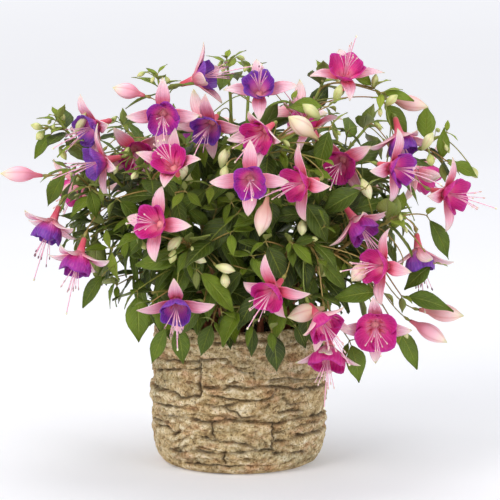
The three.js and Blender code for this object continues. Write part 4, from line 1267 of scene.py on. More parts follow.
SEPAL_INSIDE = (
    (0.0, (226, 74, 104)), (0.18, (242, 118, 144)), (0.42, (250, 172, 192)),
    (0.7, (253, 210, 222)), (0.94, (250, 232, 222)), (1.0, (222, 228, 170)))
SEPAL_OUTSIDE = (
    (0.0, (238, 116, 136)), (0.18, (246, 156, 172)), (0.45, (251, 200, 208)),
    (0.75, (253, 224, 226)), (0.93, (244, 236, 208)), (1.0, (204, 214, 142)))
TUBE_COLOURS = (
    (0.0, (196, 140, 96)), (0.14, (220, 92, 98)), (0.6, (230, 82, 106)),
    (0.9, (238, 112, 134)), (1.0, (250, 176, 176)))
SEPAL_SKIN = sepal_material("sepal_skin", SEPAL_INSIDE, SEPAL_OUTSIDE, 22)
TUBE_SKIN = sepal_material("tube_skin", TUBE_COLOURS, TUBE_COLOURS, 9)
# The throat, the glow round it, the body, the rim and the veins of each kind of petal
PETAL_COLOURS = {
    "violet": ((255, 160, 176), (202, 72, 166), (104, 36, 156), (86, 42, 152), (170, 80, 184)),
    "purple": ((255, 156, 170), (224, 62, 152), (156, 16, 144), (120, 38, 156), (208, 66, 164)),
    "magenta": ((255, 164, 180), (232, 54, 142), (194, 0, 116), (180, 14, 138), (232, 66, 148)),
}
PETAL_SKINS = {kind: petal_material(kind + "_petals", *colours)
               for kind, colours in PETAL_COLOURS.items()}
FILAMENT_SKIN = plain_plant_material("filament_skin", (240, 156, 192), (251, 206, 220), 0.4)
ANTHER_SKINS = {
    "violet": plain_plant_material("young_anthers", (92, 62, 84), (170, 130, 140), 0.7),
    "purple": plain_plant_material("anthers", (150, 104, 118), (226, 190, 186), 0.7),
    "magenta": plain_plant_material("ripe_anthers", (206, 160, 156), (246, 218, 206), 0.7),
}
STIGMA_SKIN = plain_plant_material("stigma_skin", (232, 214, 176), (248, 240, 216), 0.5)


class Bloom:
    """An open flower on its stem, and the calyx and corolla that are collected for it."""

    def __init__(self, number, throat, facing, stem, leaves_at, petals, fold):
        self.number, self.petals, self.fold = number, petals, fold
        self.name = "bloom_%02d" % number
        self.fused = number > SEPARATE_BLOOMS
        self.stem, self.leaves_at = STEM_BY_NAME[stem], leaves_at
        tree = self.stem.tree if self.fused else corner_tree(self.name + "_calyx")
        self.flower = cad_flower(throat, facing, fold, tree)
        self.calyx, self.corolla = Store(), Store()

    def add_thread(self, angle, spread, length, sag, seed, radius, knob, finish):
        """A filament with its anther, or the style with its stigma."""
        path = thread_path(self.flower, angle, spread, length, sag, seed)
        self.corolla.add_tube(THREAD_TUBE, path, [radius] * THREAD_RINGS, finish=1)
        ahead = (path[-1] - path[-2]).normalized()
        self.corolla.add(BALL, ellipsoid_copy(BALL, path[-1], ahead, *knob), 0.5, finish)

    def grow(self):
        """The tube and sepals, then the petals, stamens and style, each made one piece."""
        flower, number = self.flower, self.number
        self.calyx.add(TUBE_PATTERN, calyx_tube(flower, 1.5 if self.fused else 0), 0.3, 1)
        blush = between(0.0, 0.7, number, 3)
        wide = PETAL_REACH_OUT[self.petals] * WIDE_OPEN.get(number, 1)
        for i in range(SEPALS):
            sepal = sepal_surface(flower, i * math.pi / 2, self.fold, number * 4 + i)
            self.calyx.add_blade(SEPAL_PATTERN, sepal, SEPAL_THICKNESS, blush)
            middle = (i + 0.5) * math.pi / 2
            petal = petal_surface(flower, middle, PETAL_SPREAD, wide, number * 12 + i)
            self.corolla.add_blade(PETAL_PATTERN, petal, PETAL_THICKNESS, between(0, 1, number, i))
        for i in range(STAMENS):
            seed = number * 9 + i
            self.add_thread(i * math.pi / 4 + 0.3, between(4, 11, seed, 2),
                            STAMEN_LENGTH * between(0.72, 1.0, seed, 1), between(0.5, 3.0, seed, 3),
                            seed, STAMEN_RADIUS, ANTHER_SIZE, 2)
        self.add_thread(3.9, 3, STYLE_LENGTH, STYLE_LENGTH * 0.05, number, STYLE_RADIUS,
                        STIGMA_SIZE, 3)
        nodes = ([self.stem.node] * 2 if self.fused
                 else [self.name + "_calyx", self.name + "_corolla"])
        self.calyx.make(self.name + "_sepals", [SEPAL_SKIN, TUBE_SKIN], "calyx", nodes[0])
        skins = [PETAL_SKINS[self.petals], FILAMENT_SKIN, ANTHER_SKINS[self.petals], STIGMA_SKIN]
        self.corolla.make(self.name + "_petals", skins, "corolla_" + self.petals, nodes[1])


BLOOM_LIST = [Bloom(number, *values) for number, values in enumerate(BLOOMS + MORE_BLOOMS, 1)]
for bloom in BLOOM_LIST:
    bloom.grow()


# Flower stalks and buds. Each flower hangs from a thin green to reddish stalk that leaves its stem
# above a leaf and ends in a green ovary. The buds are closed calyxes on the same stalks.

STALK_RADIUS = 0.8
OVARY_LENGTH = 7
OVARY_RADIUS = 2.1
STALK_LOWEST = 0.3
STALK_HIGHEST = 0.94
STALK_TRIES = 30
STALK_STEPS = (0, 1, -1, 2, -2, 3, -3, 4, -4, 5)
STALK_RINGS = 16
BUD_RINGS = 16
SMALL_BUD_RINGS = 8
LARGE_BUD = 5.8
BRANCH_SHORTEST = 12
BRANCH_LONGEST = 95
OUTWARD_GROWTH = 30

# Each bud of the CAD model: the end of its ovary, its tip, its stem, where its stalk leaves, its
# radius, and its colour from 0 for green over 0.5 for cream to 1 for pink
BUDS = [
    ((-193, -60, 298), (-233, -78, 304), "left_high", 0.66, 7, 1),
    ((-92, -66, 378), (-123, -72, 388), "left_top", 0.7, 7, 1),
    ((178, -60, 164), (222, -66, 160), "right_low", 0.7, 8, 0.9),
    ((168, -86, 158), (204, -100, 140), "right_low", 0.64, 7, 1),
    ((148, -4, 366), (188, -10, 360), "right_top", 0.7, 7, 0.85),
    ((76, -96, 340), (48, -118, 366), "front_mid", 0.93, 8, 0.65),
    ((28, -128, 288), (20, -138, 252), "front_mid", 0.6, 7.5, 0.8),
    ((120, -98, 300), (128, -112, 284), "right_high", 0.5, 5, 0.4),
    ((-192, -30, 338), (-200, -34, 330), "left_high", 0.97, 4, 0.1),
    ((-158, -22, 336), (-153, -26, 346), "left_high", 0.9, 4, 0),
    ((72, -40, 360), (70, -50, 350), "right_top", 0.82, 4, 0),
    ((-12, -118, 316), (-16, -126, 306), "front_mid", 0.7, 4, 0.2),
    ((-62, -128, 236), (-66, -134, 224), "front_low", 0.95, 4, 0.1),
    ((-14, -124, 212), (-12, -134, 200), "front_low", 0.7, 4.5, 0.3),
    ((188, -40, 316), (190, -48, 306), "right_high", 0.9, 4, 0),
    ((230, -20, 300), (236, -24, 290), "right_high", 0.97, 4, 0.1),
    ((62, -110, 262), (61, -124, 250), "front_mid", 0.55, 4.5, 0.3),
    ((-140, 114, 296), (-158, 130, 276), "back_left", 0.9, 7, 1),
    ((22, 134, 368), (28, 160, 352), "back_mid", 0.96, 7, 0.7),
    ((152, 112, 304), (170, 128, 286), "back_right", 0.92, 7, 0.9),
]

# Further buds: the end of the ovary, the tip, the radius and the colour
MORE_BUDS = [
    ((126, -128, 224), (109, -134, 207), 8.5, 0.75),
    ((83, -140, 181), (47, -146, 174), 9.5, 0.7),
    ((-45, -98, 298), (-65, -104, 317), 9, 0.45),
    ((-160, -42, 338), (-150, -48, 360), 5.4, 0.3),
    ((-193, -34, 341), (-205, -40, 346), 4.2, 0.1),
    ((94, -58, 370), (100, -64, 390), 5, 0.1),
    ((79, -84, 358), (62, -90, 374), 6.4, 0.2),
    ((133, -28, 380), (135, -34, 396), 4, 0.1),
    ((144, -42, 365), (156, -48, 377), 4.8, 0.1),
    ((181, -42, 321), (191, -48, 340), 5.6, 0.3),
    ((-22, -134, 221), (-3, -140, 218), 5.4, 0.35),
    ((-47, -130, 231), (-31, -136, 226), 5.2, 0.45),
    ((-56, -120, 247), (-69, -126, 235), 6, 0.3),
    ((-17, -104, 313), (-13, -110, 333), 5.6, 0.3),
    ((-177, -36, 322), (-170, -42, 311), 3.8, 0),
    ((-99, -98, 241), (-89, -104, 232), 3.8, 0),
    ((79, -120, 209), (91, -126, 217), 4, 0.1),
]


def stalk_curve(stem, start, end, facing, attempt):
    """A stalk from near a place on its stem to the back of a flower, as the CAD model tries it."""
    t = min(STALK_HIGHEST, max(STALK_LOWEST, start + STALK_STEPS[attempt % 10] * 0.03))
    lift = 0.8 - 0.5 * (attempt // 10)
    root = stem.curve.at(t)
    span = (end - root).length
    leave = (stem.curve.direction(t) * 0.5 + Vector((0, 0, lift))).normalized()
    return Bezier(root, root + leave * span * 0.35, end - facing * span * 0.4, end)


def cad_stalk(stem, start, end, facing, ring):
    """The stalk that the CAD node has: the one with corners a stalk's radius away at a ring."""
    for attempt in range(STALK_TRIES):
        curve = stalk_curve(stem, start, end, facing, attempt)
        near = stem.tree.find_range(curve.at(ring), STALK_RADIUS + MATCH)
        if len(near) >= 2:
            return curve
    return stalk_curve(stem, start, end, facing, 0)


def add_stalk(stem, curve, ovary, tint):
    """A stalk with its ovary: the last millimetres swell into it, then draw in to the tube."""
    length = curve.length()
    path, radii = [], []
    for i in range(STALK_RINGS):
        share = i / (STALK_RINGS - 1)
        t = 1 - (1 - share) ** 1.7
        back = (1 - t) * length
        path.append(curve.at(t))
        swell = math.sin(math.pi * min(1, back / OVARY_LENGTH)) ** 0.7 if back < OVARY_LENGTH else 0
        radii.append(0.62 + 0.3 * (1 - t) ** 6 + (OVARY_RADIUS - 0.6) * swell * ovary)
    radii[-1] = 1.5 if ovary == 1 else 1.1
    tints = tint * (1 - STALK_TUBE.points[:, 2] ** 5)
    stem.stalks.add_tube(STALK_TUBE, path, radii, tints)


def stalk_material():
    """Stalk skin: green to red by the stalk's own colour mark, finely streaked."""
    material, tree, shader = new_material("stalk_skin", Roughness=0.45)
    streak = grain(tree, 120, 600, 0.4)
    green = ramp(tree, streak, ((0.35, (104, 132, 44)), (0.62, (158, 172, 84))))
    red = ramp(tree, streak, ((0.35, (168, 62, 60)), (0.62, (206, 120, 96))))
    tone = blend(tree, attribute(tree, "tint"), green, red)
    dress(tree, shader, tone, bump(tree, streak, 0.3, 0.0004))
    return material


def bud_material():
    """Bud skin: green, cream or pink by the bud's own colour mark, with four darker seams."""
    material, tree, shader = new_material(
        "bud_skin", Roughness=0.42, Subsurface_Weight=0.2, Subsurface_Scale=0.003,
        Subsurface_Radius=(1.0, 0.6, 0.5))
    _, across, along = blade_places(tree)
    patch = grain(tree, 130, 500, 0.3)
    pink = ramp(tree, along, (
        (0.0, (214, 92, 108)), (0.2, (230, 112, 142)), (0.42, (240, 150, 176)),
        (0.68, (248, 188, 202)), (0.88, (248, 216, 204)), (1.0, (208, 212, 146))))
    cream = ramp(tree, along, (
        (0.0, (184, 196, 112)), (0.35, (230, 226, 164)), (0.7, (246, 238, 202)),
        (1.0, (216, 218, 148))))
    green = ramp(tree, along, (
        (0.0, (134, 160, 66)), (0.4, (184, 196, 96)), (0.75, (206, 210, 120)),
        (1.0, (160, 180, 76))))
    mark = attribute(tree, "tint")
    early = add_node(tree, "ShaderNodeMapRange", {"Value": mark, "From Max": 0.5}).outputs[0]
    late = add_node(tree, "ShaderNodeMapRange", {"Value": mark, "From Min": 0.5}).outputs[0]
    tone = blend(tree, late, blend(tree, early, green, cream), pink)
    seam = math_node(tree, "POWER", across, 12.0)
    blush = math_node(tree, "MULTIPLY", seam, scaled(tree, mark, 0.4, 0.2))
    tone = blend(tree, blush, tone, (216, 112, 112))
    tone = blend(tree, scaled(tree, patch, 0.12), tone, (255, 250, 240))
    height = math_node(tree, "SUBTRACT", patch, seam)
    dress(tree, shader, tone, bump(tree, height, 0.4, 0.0005), scaled(tree, patch, 0.2, 0.3))
    return material


# The outline of a large and of a small bud: places along it, and how wide it is there
LARGE_BUD_OUTLINE = ((0, 0.1, 0.2, 0.3, 0.42, 0.56, 0.7, 0.82, 0.92, 1),
                     (0.22, 0.3, 0.42, 0.72, 0.97, 1.06, 0.94, 0.66, 0.3, 0.03))
SMALL_BUD_OUTLINE = ((0, 0.12, 0.3, 0.5, 0.66, 0.82, 0.93, 1),
                     (0.3, 0.52, 0.86, 1.0, 0.92, 0.58, 0.26, 0.03))


def add_bud(stem, end, tip, radius, tone, pattern):
    """A closed flower: a short tube, then four sepals that meet in seams round a fat body."""
    x, y, z = pattern.points.T
    flower = Flower(end, tip - end, 0.4)
    length = (tip - end).length
    angle = np.arctan2(y, x)
    wide = np.interp(z, *(LARGE_BUD_OUTLINE if radius > LARGE_BUD else SMALL_BUD_OUTLINE))
    seam = 1 - 0.09 * np.maximum(np.cos(4 * angle), 0) ** 6 * z
    points = round_axis(flower, angle, wide * radius * seam, z * length)
    points[:, 2] -= 1.2 * z ** 2 * min(1, length / 30)
    stem.buds.add(pattern, points, tone)


def nearest_stem(target):
    """The stem and the place on it from which a twig reaches the target by growing outwards."""
    best = None
    for stem in STEM_LIST:
        for i in range(12, 100, 4):
            t = i / 100
            way = target - stem.curve.at(t)
            if way.length < BRANCH_SHORTEST or way.length > BRANCH_LONGEST:
                continue
            cost = way.length - OUTWARD_GROWTH * way.normalized().dot(stem.curve.direction(t))
            if best is None or cost < best[0]:
                best = (cost, stem, t)
    return best[1:] if best else (None, 0)


def branch_curve(stem, t, target):
    """A twig or stalk from a place on a stem: it leaves along the stem and bends to the target."""
    root = stem.curve.at(t)
    way = target - root
    rise = Vector((0, 0, way.length * 0.08))
    return Bezier(root, root + stem.curve.direction(t) * way.length * 0.3,
                  target - way * 0.3 + rise, target)


STALK_TUBE = tube_pattern(6, STALK_RINGS)
BUD_TUBE = tube_pattern(24, BUD_RINGS)
SMALL_BUD_TUBE = tube_pattern(8, SMALL_BUD_RINGS)
STALK_SKIN = stalk_material()
BUD_SKIN = bud_material()

for bloom in BLOOM_LIST:
    facing = bloom.flower.axis
    end = bloom.flower.throat - facing * (TUBE_LENGTH + 2 * GAP)
    curve = cad_stalk(bloom.stem, bloom.leaves_at, end, facing, 0.45)
    add_stalk(bloom.stem, curve, 1, between(0.0, 0.6, bloom.number))

for number, (end, tip, stem_name, leaves_at, radius, tone) in enumerate(BUDS):
    stem, end, tip = STEM_BY_NAME[stem_name], Vector(end), Vector(tip)
    curve = cad_stalk(stem, leaves_at, end, (tip - end).normalized(), 0.5)
    add_stalk(stem, curve, 0.8 if radius > LARGE_BUD else 0.35, between(0.1, 0.7, number))
    add_bud(stem, end, tip, radius * 1.08, tone, BUD_TUBE)

for number, (end, tip, radius, tone) in enumerate(MORE_BUDS):
    end, tip = Vector(end), Vector(tip)
    stem, t = nearest_stem(end)
    add_stalk(stem, branch_curve(stem, t, end), 0.5, between(0.0, 0.5, number))
    add_bud(stem, end, tip, radius * 0.9, tone, BUD_TUBE)


# Leaves. Opposite pairs of soft pointed ovals with sunk veins and a slightly wavy edge, each on a
# short stalk. The main ones are where the CAD model has them; fine twigs between them bear more.

LEAF_LENGTH = 47
LEAF_WIDTH = 25
LEAF_HANG = 0.2
CAD_LEAF_HANG = 0.13
LEAF_THICKNESS = 0.45
CAD_LEAF_THICKNESS = 0.8
LEAF_ROOT = 0.7
LEAF_SPACING = 68
LEAF_FIRST = 0.2
LEAF_LAST = 0.92
SHOOT_LEAF_FIRST = 0.9
SHOOT_LEAF_SHARE = 0.95
LEAF_TRIES = 12
PETIOLE_SHARE = 0.12
PETIOLE_RINGS = 4
FLOWER_REACH = 42
TWIG_THICK = 1.1
TWIG_THIN = 0.6
LEAF_ROWS = (0, 0.08, 0.25, 0.45, 0.66, 0.84, 1)
FRONT_LEAF_ROWS = (0, 0.05, 0.13, 0.25, 0.38, 0.52, 0.65, 0.77, 0.87, 0.94, 1)


class Leaf:
    """Where a leaf grows: its root, the ways along and up, its length and width, and its curl.
    Sky is the way that its upper face turns to, and hang how far its tip comes down."""

    def __init__(self, root, along, length, curl, seed, sky=Vector((0, 0, 1)), narrow=0.9,
                 hang=LEAF_HANG):
        self.root, self.along = root, along.normalized()
        face = sky - self.along * self.along.dot(sky)
        if face.length < 0.2:
            face = around(self.along, 0)
        self.face = face.normalized()
        self.side = self.along.cross(self.face).normalized()
        self.length, self.curl, self.seed = length, curl, seed
        self.width, self.hang = LEAF_WIDTH * length / LEAF_LENGTH * narrow, hang

    def corners(self):
        """The two corner points that the CAD leaf has at its tip."""
        tip = self.root + self.along * self.length - self.face * CAD_LEAF_HANG * self.length
        half = self.face * CAD_LEAF_THICKNESS / 2
        return [tip + half, tip - half]

    def surface(self, across, along):
        """The blade: folded along its midrib, wavy at its edge, with a tip that hangs."""
        length, width, seed = self.length, self.width, self.seed
        wide = width / 2 * np.interp(along, LEAF_STATIONS, LEAF_WIDTHS)
        fold = between(0.10, 0.34, seed, 1)
        phase = between(0, 6.3, seed, 2)
        wave = 0.03 * length * np.sin(along * 7.4 + phase + across * 1.5) * across ** 2
        droop = self.hang * length * np.clip(along, 0, 1.05) ** 2 * between(0.8, 1.35, seed, 3)
        bend = between(-0.05, 0.05, seed, 4) * length * along ** 2
        lift = fold * wide * np.abs(across) ** 1.4 + wave - droop + self.curl * length * along * (
            1 - along) * across
        place = length * (PETIOLE_SHARE + (1 - PETIOLE_SHARE) * along)
        sideways = wide * across + bend
        return (np.array(self.root[:]) + np.outer(place, self.along[:])
                + np.outer(sideways, self.side[:]) + np.outer(lift, self.face[:]))

    def room(self):
        """A coarse outline of the leaf, its middle and its reach, to keep others clear of it."""
        across = np.array([0, -0.9, 0.9, -1, 1, -0.8, 0.8, 0])
        along = np.array([0.0, 0.2, 0.2, 0.45, 0.45, 0.75, 0.75, 1.0])
        hull = bvhtree.BVHTree.FromPolygons(
            [Vector(point) for point in self.surface(across, along)],
            [(0, 2, 1), (1, 2, 4, 3), (3, 4, 6, 5), (5, 6, 7)])
        return hull, self.root + self.along * self.length * 0.55, self.length * 0.5


def uneven_rows(pattern, rows):
    """A blade pattern with its even rows moved, closer together at its two ends."""
    even = np.linspace(0, 1, len(rows))
    pattern.points[:, 1] = np.interp(pattern.points[:, 1], even, rows)
    pattern.uv[:, 1] = np.interp(pattern.uv[:, 1], even, rows)
    return pattern


LEAF_STATIONS = (-0.02, 0, 0.08, 0.25, 0.36, 0.45, 0.55, 0.66, 0.76, 0.84, 0.92, 1, 1.02)
LEAF_WIDTHS = (0.04, 0.05, 0.4, 0.86, 0.98, 1.0, 0.95, 0.78, 0.54, 0.34, 0.16, 0.02, 0.02)
LEAF_PATTERN = uneven_rows(blade_pattern(4, len(LEAF_ROWS) - 1), LEAF_ROWS)
FRONT_LEAF_PATTERN = uneven_rows(blade_pattern(6, len(FRONT_LEAF_ROWS) - 1), FRONT_LEAF_ROWS)
PETIOLE_TUBE = tube_pattern(4, PETIOLE_RINGS)

# What a new leaf has to stay clear of, each as its faces, its middle and its reach from there
solid_things = []
for bloom in BLOOM_LIST:
    for store in (bloom.calyx, bloom.corolla):
        faces = bvhtree.BVHTree.FromPolygons(np.concatenate(store.points).tolist(), store.faces)
        solid_things.append((faces, bloom.flower.throat, FLOWER_REACH))


def is_free(leaf):
    """Whether a leaf cuts through no flower and no earlier leaf."""
    hull, middle, reach = leaf.room()
    return not any((other_middle - middle).length < reach + other_reach and hull.overlap(other)
                   for other, other_middle, other_reach in solid_things)


def add_leaf(stem, leaf, tint, pattern=LEAF_PATTERN):
    """Adds a leaf and its stalk to what is collected for a stem."""
    stem.leaves.add_blade(pattern, leaf.surface, LEAF_THICKNESS, tint)
    blade_start = leaf.root + leaf.along * leaf.length * (PETIOLE_SHARE + 0.03)
    path = [leaf.root.lerp(blade_start, i / (PETIOLE_RINGS - 1)) for i in range(PETIOLE_RINGS)]
    stem.stalks.add_tube(PETIOLE_TUBE, path, [0.75, 0.6, 0.55, 0.5], 0.3)
    solid_things.append(leaf.room())


def cad_leaf(curve, t, station, side, attempt, length, seed):
    """A leaf of the CAD model at one of the places that it tries for it."""
    forward = curve.direction(t)
    widest = 1.2 * min(attempt, 4) / 4
    aside = between(-widest, widest, attempt, seed, 3)
    out = around(forward, station * math.pi / 2 + side * math.pi + seed + aside)
    droop = between(0.05, 0.75, station, side, seed, attempt) + 0.5 * (1 - t)
    along = out + forward * (0.35 + t * 0.25)
    along.z -= droop
    size = length * (1 - 0.05 * (attempt // 3))
    curl = between(-0.04, 0.04, station, side, seed)
    return Leaf(curve.at(t) + out * LEAF_ROOT, along, size, curl, seed * 7 + station * 2 + side,
                hang=CAD_LEAF_HANG)


def add_cad_leaves(stem, curve, seed, first, longest):
    """The leaves of the CAD node along a curve, each at the try that the node's corners show."""
    stations = max(1, round(curve.length() * (1 - first) / LEAF_SPACING))
    for station in range(stations):
        t = first + (LEAF_LAST - first) * station / max(1, stations - 1)
        length = longest * (1 - 0.3 * (station / stations) ** 2)
        for side in (0, 1):
            for attempt in range(LEAF_TRIES):
                leaf = cad_leaf(curve, t, station, side, attempt, length, seed)
                if has_corners(stem.tree, leaf.corners()):
                    add_leaf(stem, leaf, between(0.0, 0.6, seed, station, side))
                    break


for stem in STEM_LIST:
    add_cad_leaves(stem, stem.curve, stem.number, LEAF_FIRST, LEAF_LENGTH)
    for i, shoot in enumerate(stem.shoots):
        add_cad_leaves(stem, shoot, stem.number + 20 * (i + 1), SHOOT_LEAF_FIRST,
                       LEAF_LENGTH * SHOOT_LEAF_SHARE)


# Leaves that show at the front and round the edge of the canopy: the root and the tip of each,
# across and up as seen from the front, its place from front to back, and its colour from 0 for
# old and dark to 1 for young and pale. Each grows on a short twig
FRONT_LEAVES = [
    ((-99, 191), (-98, 139), -98, 0.45),
    ((-131, 205), (-157, 172), -78, 0.3),
    ((-169, 301), (-192, 266), -38, 0.3),
    ((-161, 327), (-131, 322), -52, 0.5),
    ((-41, 218), (-1, 179), -132, 0.5),
    ((-53, 227), (-99, 223), -126, 0.35),
    ((-1, 269), (-44, 231), -112, 0.05),
    ((-183, 338), (-204, 313), -34, 0.4),
    ((-27, 296), (-61, 269), -112, 0.25),
    ((-147, 289), (-137, 258), -72, 0.4),
    ((-7, 279), (11, 243), -116, 0.15),
    ((-84, 253), (-112, 225), -98, 0.25),
    ((-11, 257), (-17, 218), -104, 0.1),
    ((185, 257), (211, 216), -52, 0.3),
    ((159, 185), (210, 177), -92, 0.35),
    ((154, 153), (180, 112), -106, 0.4),
    ((108, 143), (122, 102), -122, 0.45),
    ((78, 226), (106, 198), -128, 0.35),
    ((139, 195), (91, 191), -130, 0.3),
    ((26, 245), (45, 205), -132, 0.05),
    ((89, 352), (76, 311), -98, 0.3),
    ((82, 320), (74, 275), -104, 0.2),
    ((143, 366), (169, 330), -44, 0.4),
    ((201, 306), (204, 338), -22, 0.5),
    ((207, 307), (237, 296), -26, 0.5),
    ((140, 377), (172, 374), -32, 0.6),
    ((133, 381), (110, 401), -30, 0.6),
    ((86, 368), (48, 370), -62, 0.5),
    ((123, 294), (79, 272), -112, 0.2),
    ((32, 155), (40, 114), -118, 0.05),
    ((54, 160), (67, 136), -110, 0.1),
    ((-69, 160), (-87, 121), -112, 0.35),
    ((-61, 163), (-52, 121), -116, 0.3),
    ((-25, 165), (-38, 130), -120, 0.25),
    ((-17, 173), (-10, 144), -118, 0.1),
    ((14, 161), (12, 128), -116, 0.05),
    ((16, 305), (44, 280), -120, 0.3),
    ((61, 285), (91, 244), -118, 0.15),
    ((-119, 280), (-89, 254), -88, 0.3),
    ((-74, 277), (-99, 246), -100, 0.2),
    ((6, 216), (-24, 185), -128, 0.1),
    ((21, 194), (-4, 159), -124, 0.05),
    ((-34, 184), (-59, 154), -124, 0.2),
    ((-84, 182), (-64, 146), -110, 0.4),
    ((191, 215), (161, 192), -80, 0.3),
    ((51, 239), (76, 250), -120, 0.2),
]
# The steps forwards and backwards that such a leaf tries in turn
DEPTH_STEPS = (0, -6, 6, -12, 12, 18, -18, 26)
# Where the seeds of the leaves and buds at the tips and of the leaves on the twigs start
TIP_LEAF_SEED = 5000
TIP_BUD_SEED = 7000
TWIG_LEAF_SEED = 1000


def youth(point):
    """How young the growth at a point is: 0 in the middle of the plant, 1 at its top and sides."""
    return min(1, max(0, (point.z - 250) / 110, (abs(point.x) - 100) / 80))


def add_tip(stem, curve, number, pairs, buds):
    """The growing tip of a stem or twig: smaller and smaller pairs of leaves, and small buds."""
    for pair, (at, longest) in enumerate(pairs):
        for side in (0, 1):
            seed = TIP_LEAF_SEED + number * 10 + pair * 2 + side
            forward = curve.direction(min(at, 0.98))
            out = around(forward, pair * math.pi / 2 + side * math.pi + number)
            along = out + forward * between(0.5, 1.1, seed, 1)
            leaf = Leaf(curve.at(at), along, longest * between(0.85, 1.15, seed, 2),
                        between(-0.04, 0.04, seed, 3), seed, narrow=0.8)
            if is_free(leaf):
                add_leaf(stem, leaf, between(0.65, 1.0, seed, 4) * (0.55 + 0.45 * youth(leaf.root)))
    for i in range(buds):
        seed = TIP_BUD_SEED + number * 10 + i
        forward = curve.direction(0.97)
        root = curve.at(between(0.94, 1.0, seed, 1))
        out = around(forward, 2.4 * i + number + 0.8) + forward * between(0.2, 1.2, seed, 2)
        out = out.normalized() * between(9, 17, seed, 3)
        hang = Vector((0, 0, -between(1, 5, seed, 4)))
        stalk = Bezier(root, root + out * 0.4, root + out * 0.8, root + out + hang)
        path = [stalk.at(k / (PETIOLE_RINGS - 1)) for k in range(PETIOLE_RINGS)]
        stem.stalks.add_tube(PETIOLE_TUBE, path, [0.5, 0.4, 0.4, 0.7], 0.15)
        size = between(1.9, 3.0, seed, 5)
        tip = path[-1] + (out.normalized() * 2 + hang).normalized() * size * 3.6
        add_bud(stem, path[-1], tip, size, between(0, 0.25, seed, 6), SMALL_BUD_TUBE)


# How far out of its mouth the heart of a flower lies, and how far off a twig keeps from there
FLOWER_HEART = 9
FLOWER_ROOM = 19


def clears_flowers(curve):
    """Whether a twig keeps out of the middle of every flower."""
    hearts = [bloom.flower.throat + bloom.flower.axis * FLOWER_HEART for bloom in BLOOM_LIST]
    points = [curve.at(i / 8) for i in range(1, 9)]
    return all((point - heart).length >= FLOWER_ROOM for point in points for heart in hearts)


def add_front_leaf(number, root, tip, depth, tone):
    """One leaf of the table; it gives way forwards or backwards where a flower is in its place."""
    for step in DEPTH_STEPS:
        start, end = (Vector((across, depth + step, up)) for across, up in (root, tip))
        leaf = Leaf(start, end - start, (end - start).length * 1.04, 0.02, 300 + number,
                    Vector((0, -0.75, 0.65)), between(0.64, 0.9, number, 5))
        stem, t = nearest_stem(start)
        if stem is None or not is_free(leaf):
            continue
        curve = branch_curve(stem, t, start)
        add_leaf(stem, leaf, tone, FRONT_LEAF_PATTERN)
        stem.wood.add_twig(curve, TWIG_THICK, TWIG_THIN, between(0.3, 1, number))
        add_tip(stem, curve, 40 + number, ((1.0, 20),), int(number % 5 == 0 and youth(start) > 0.3))
        return


for number, values in enumerate(FRONT_LEAVES):
    add_front_leaf(number, *values)
for stem in STEM_LIST:
    add_tip(stem, stem.curve, stem.number, ((0.94, 30), (0.975, 22), (1.0, 13)), 3)


# Twigs fill the canopy between these leaves. Each grows from the nearest main stem towards a point
# of an egg-shaped canopy and bears opposite pairs and a pair of young leaves at its tip.
CANOPY_MIDDLE = Vector((-4, -5, 262))
CANOPY_REACH = Vector((184, 140, 122))
CANOPY_THIN = 330
TWIGS = 230
TWIG_LOWEST = 150
GOLDEN_TURN = 2.39996
TWIG_LEAF_TRIES = 5
LEAF_TIP_LOWEST = 100


def canopy_point(number):
    """Points spread evenly over the canopy, most of them near its outside."""
    up = 1 - 2 * (number + 0.5) / TWIGS
    turn = number * GOLDEN_TURN
    level = math.sqrt(1 - up * up)
    share = between(0.5, 0.98, number, 11)
    way = Vector((level * math.cos(turn), level * math.sin(turn), up))
    return CANOPY_MIDDLE + Vector([way[k] * CANOPY_REACH[k] * share for k in range(3)])


def add_twig(number):
    """A twig towards one canopy point, kept only where at least one of its leaves finds room."""
    target = canopy_point(number)
    stem, t = nearest_stem(target)
    if target.z < TWIG_LOWEST or stem is None:
        return
    if target.z > CANOPY_THIN and chance(number, 12) > 0.45:
        return
    curve = branch_curve(stem, t, target)
    if not clears_flowers(curve):
        return
    grown = 0
    pairs = max(1, round((target - curve.at(0)).length / 24))
    for pair in range(pairs + 1):
        at = 1.0 if pair == pairs else 0.3 + 0.65 * pair / pairs
        for side in (0, 1):
            grown += add_twig_leaf(stem, curve, at, pair, side, number, pair == pairs)
    if grown:
        stem.wood.add_twig(curve, TWIG_THICK, TWIG_THIN, between(0.3, 1, number))
        buds = 2 if number % 6 == 0 and youth(target) > 0.4 else 0
        add_tip(stem, curve, 200 + number, ((1.0, 14),), buds)


def add_twig_leaf(stem, curve, at, pair, side, number, young):
    """One leaf of a twig at the first turn where it is free; returns how many were added."""
    forward = curve.direction(min(at, 0.98))
    root = curve.at(at)
    seed = TWIG_LEAF_SEED + number * 10 + pair * 2 + side
    outward = Vector((root.x, root.y, 0)).normalized()
    sky = outward * 0.65 + Vector((0, 0, 0.75))
    for attempt in range(TWIG_LEAF_TRIES):
        turn = pair * math.pi / 2 + side * math.pi + between(0, 6.28, number) + 0.5 * attempt
        out = around(forward, turn)
        along = out + forward * between(0.3, 0.9, seed, 1)
        along.z -= between(0.1, 0.9, seed, attempt, 2)
        full = between(22, 34, seed, 3) if young else between(42, 58, seed, 3)
        size = full * (1 - 0.12 * attempt)
        leaf = Leaf(root, along, size, between(-0.04, 0.04, seed, 4), seed, sky,
                    between(0.66, 0.86, seed, 6))
        tip = leaf.root + leaf.along * leaf.length
        in_pot = tip.xy.length < POT_RIM_RADIUS + 8 and tip.z < POT_HEIGHT + 4
        if tip.z >= LEAF_TIP_LOWEST and not in_pot and is_free(leaf):
            tone = between(0.5, 1.0, seed, 5) if young else between(0, 0.6, seed, 5)
            add_leaf(stem, leaf, tone * (0.6 + 0.4 * youth(root)))
            return 1
    return 0


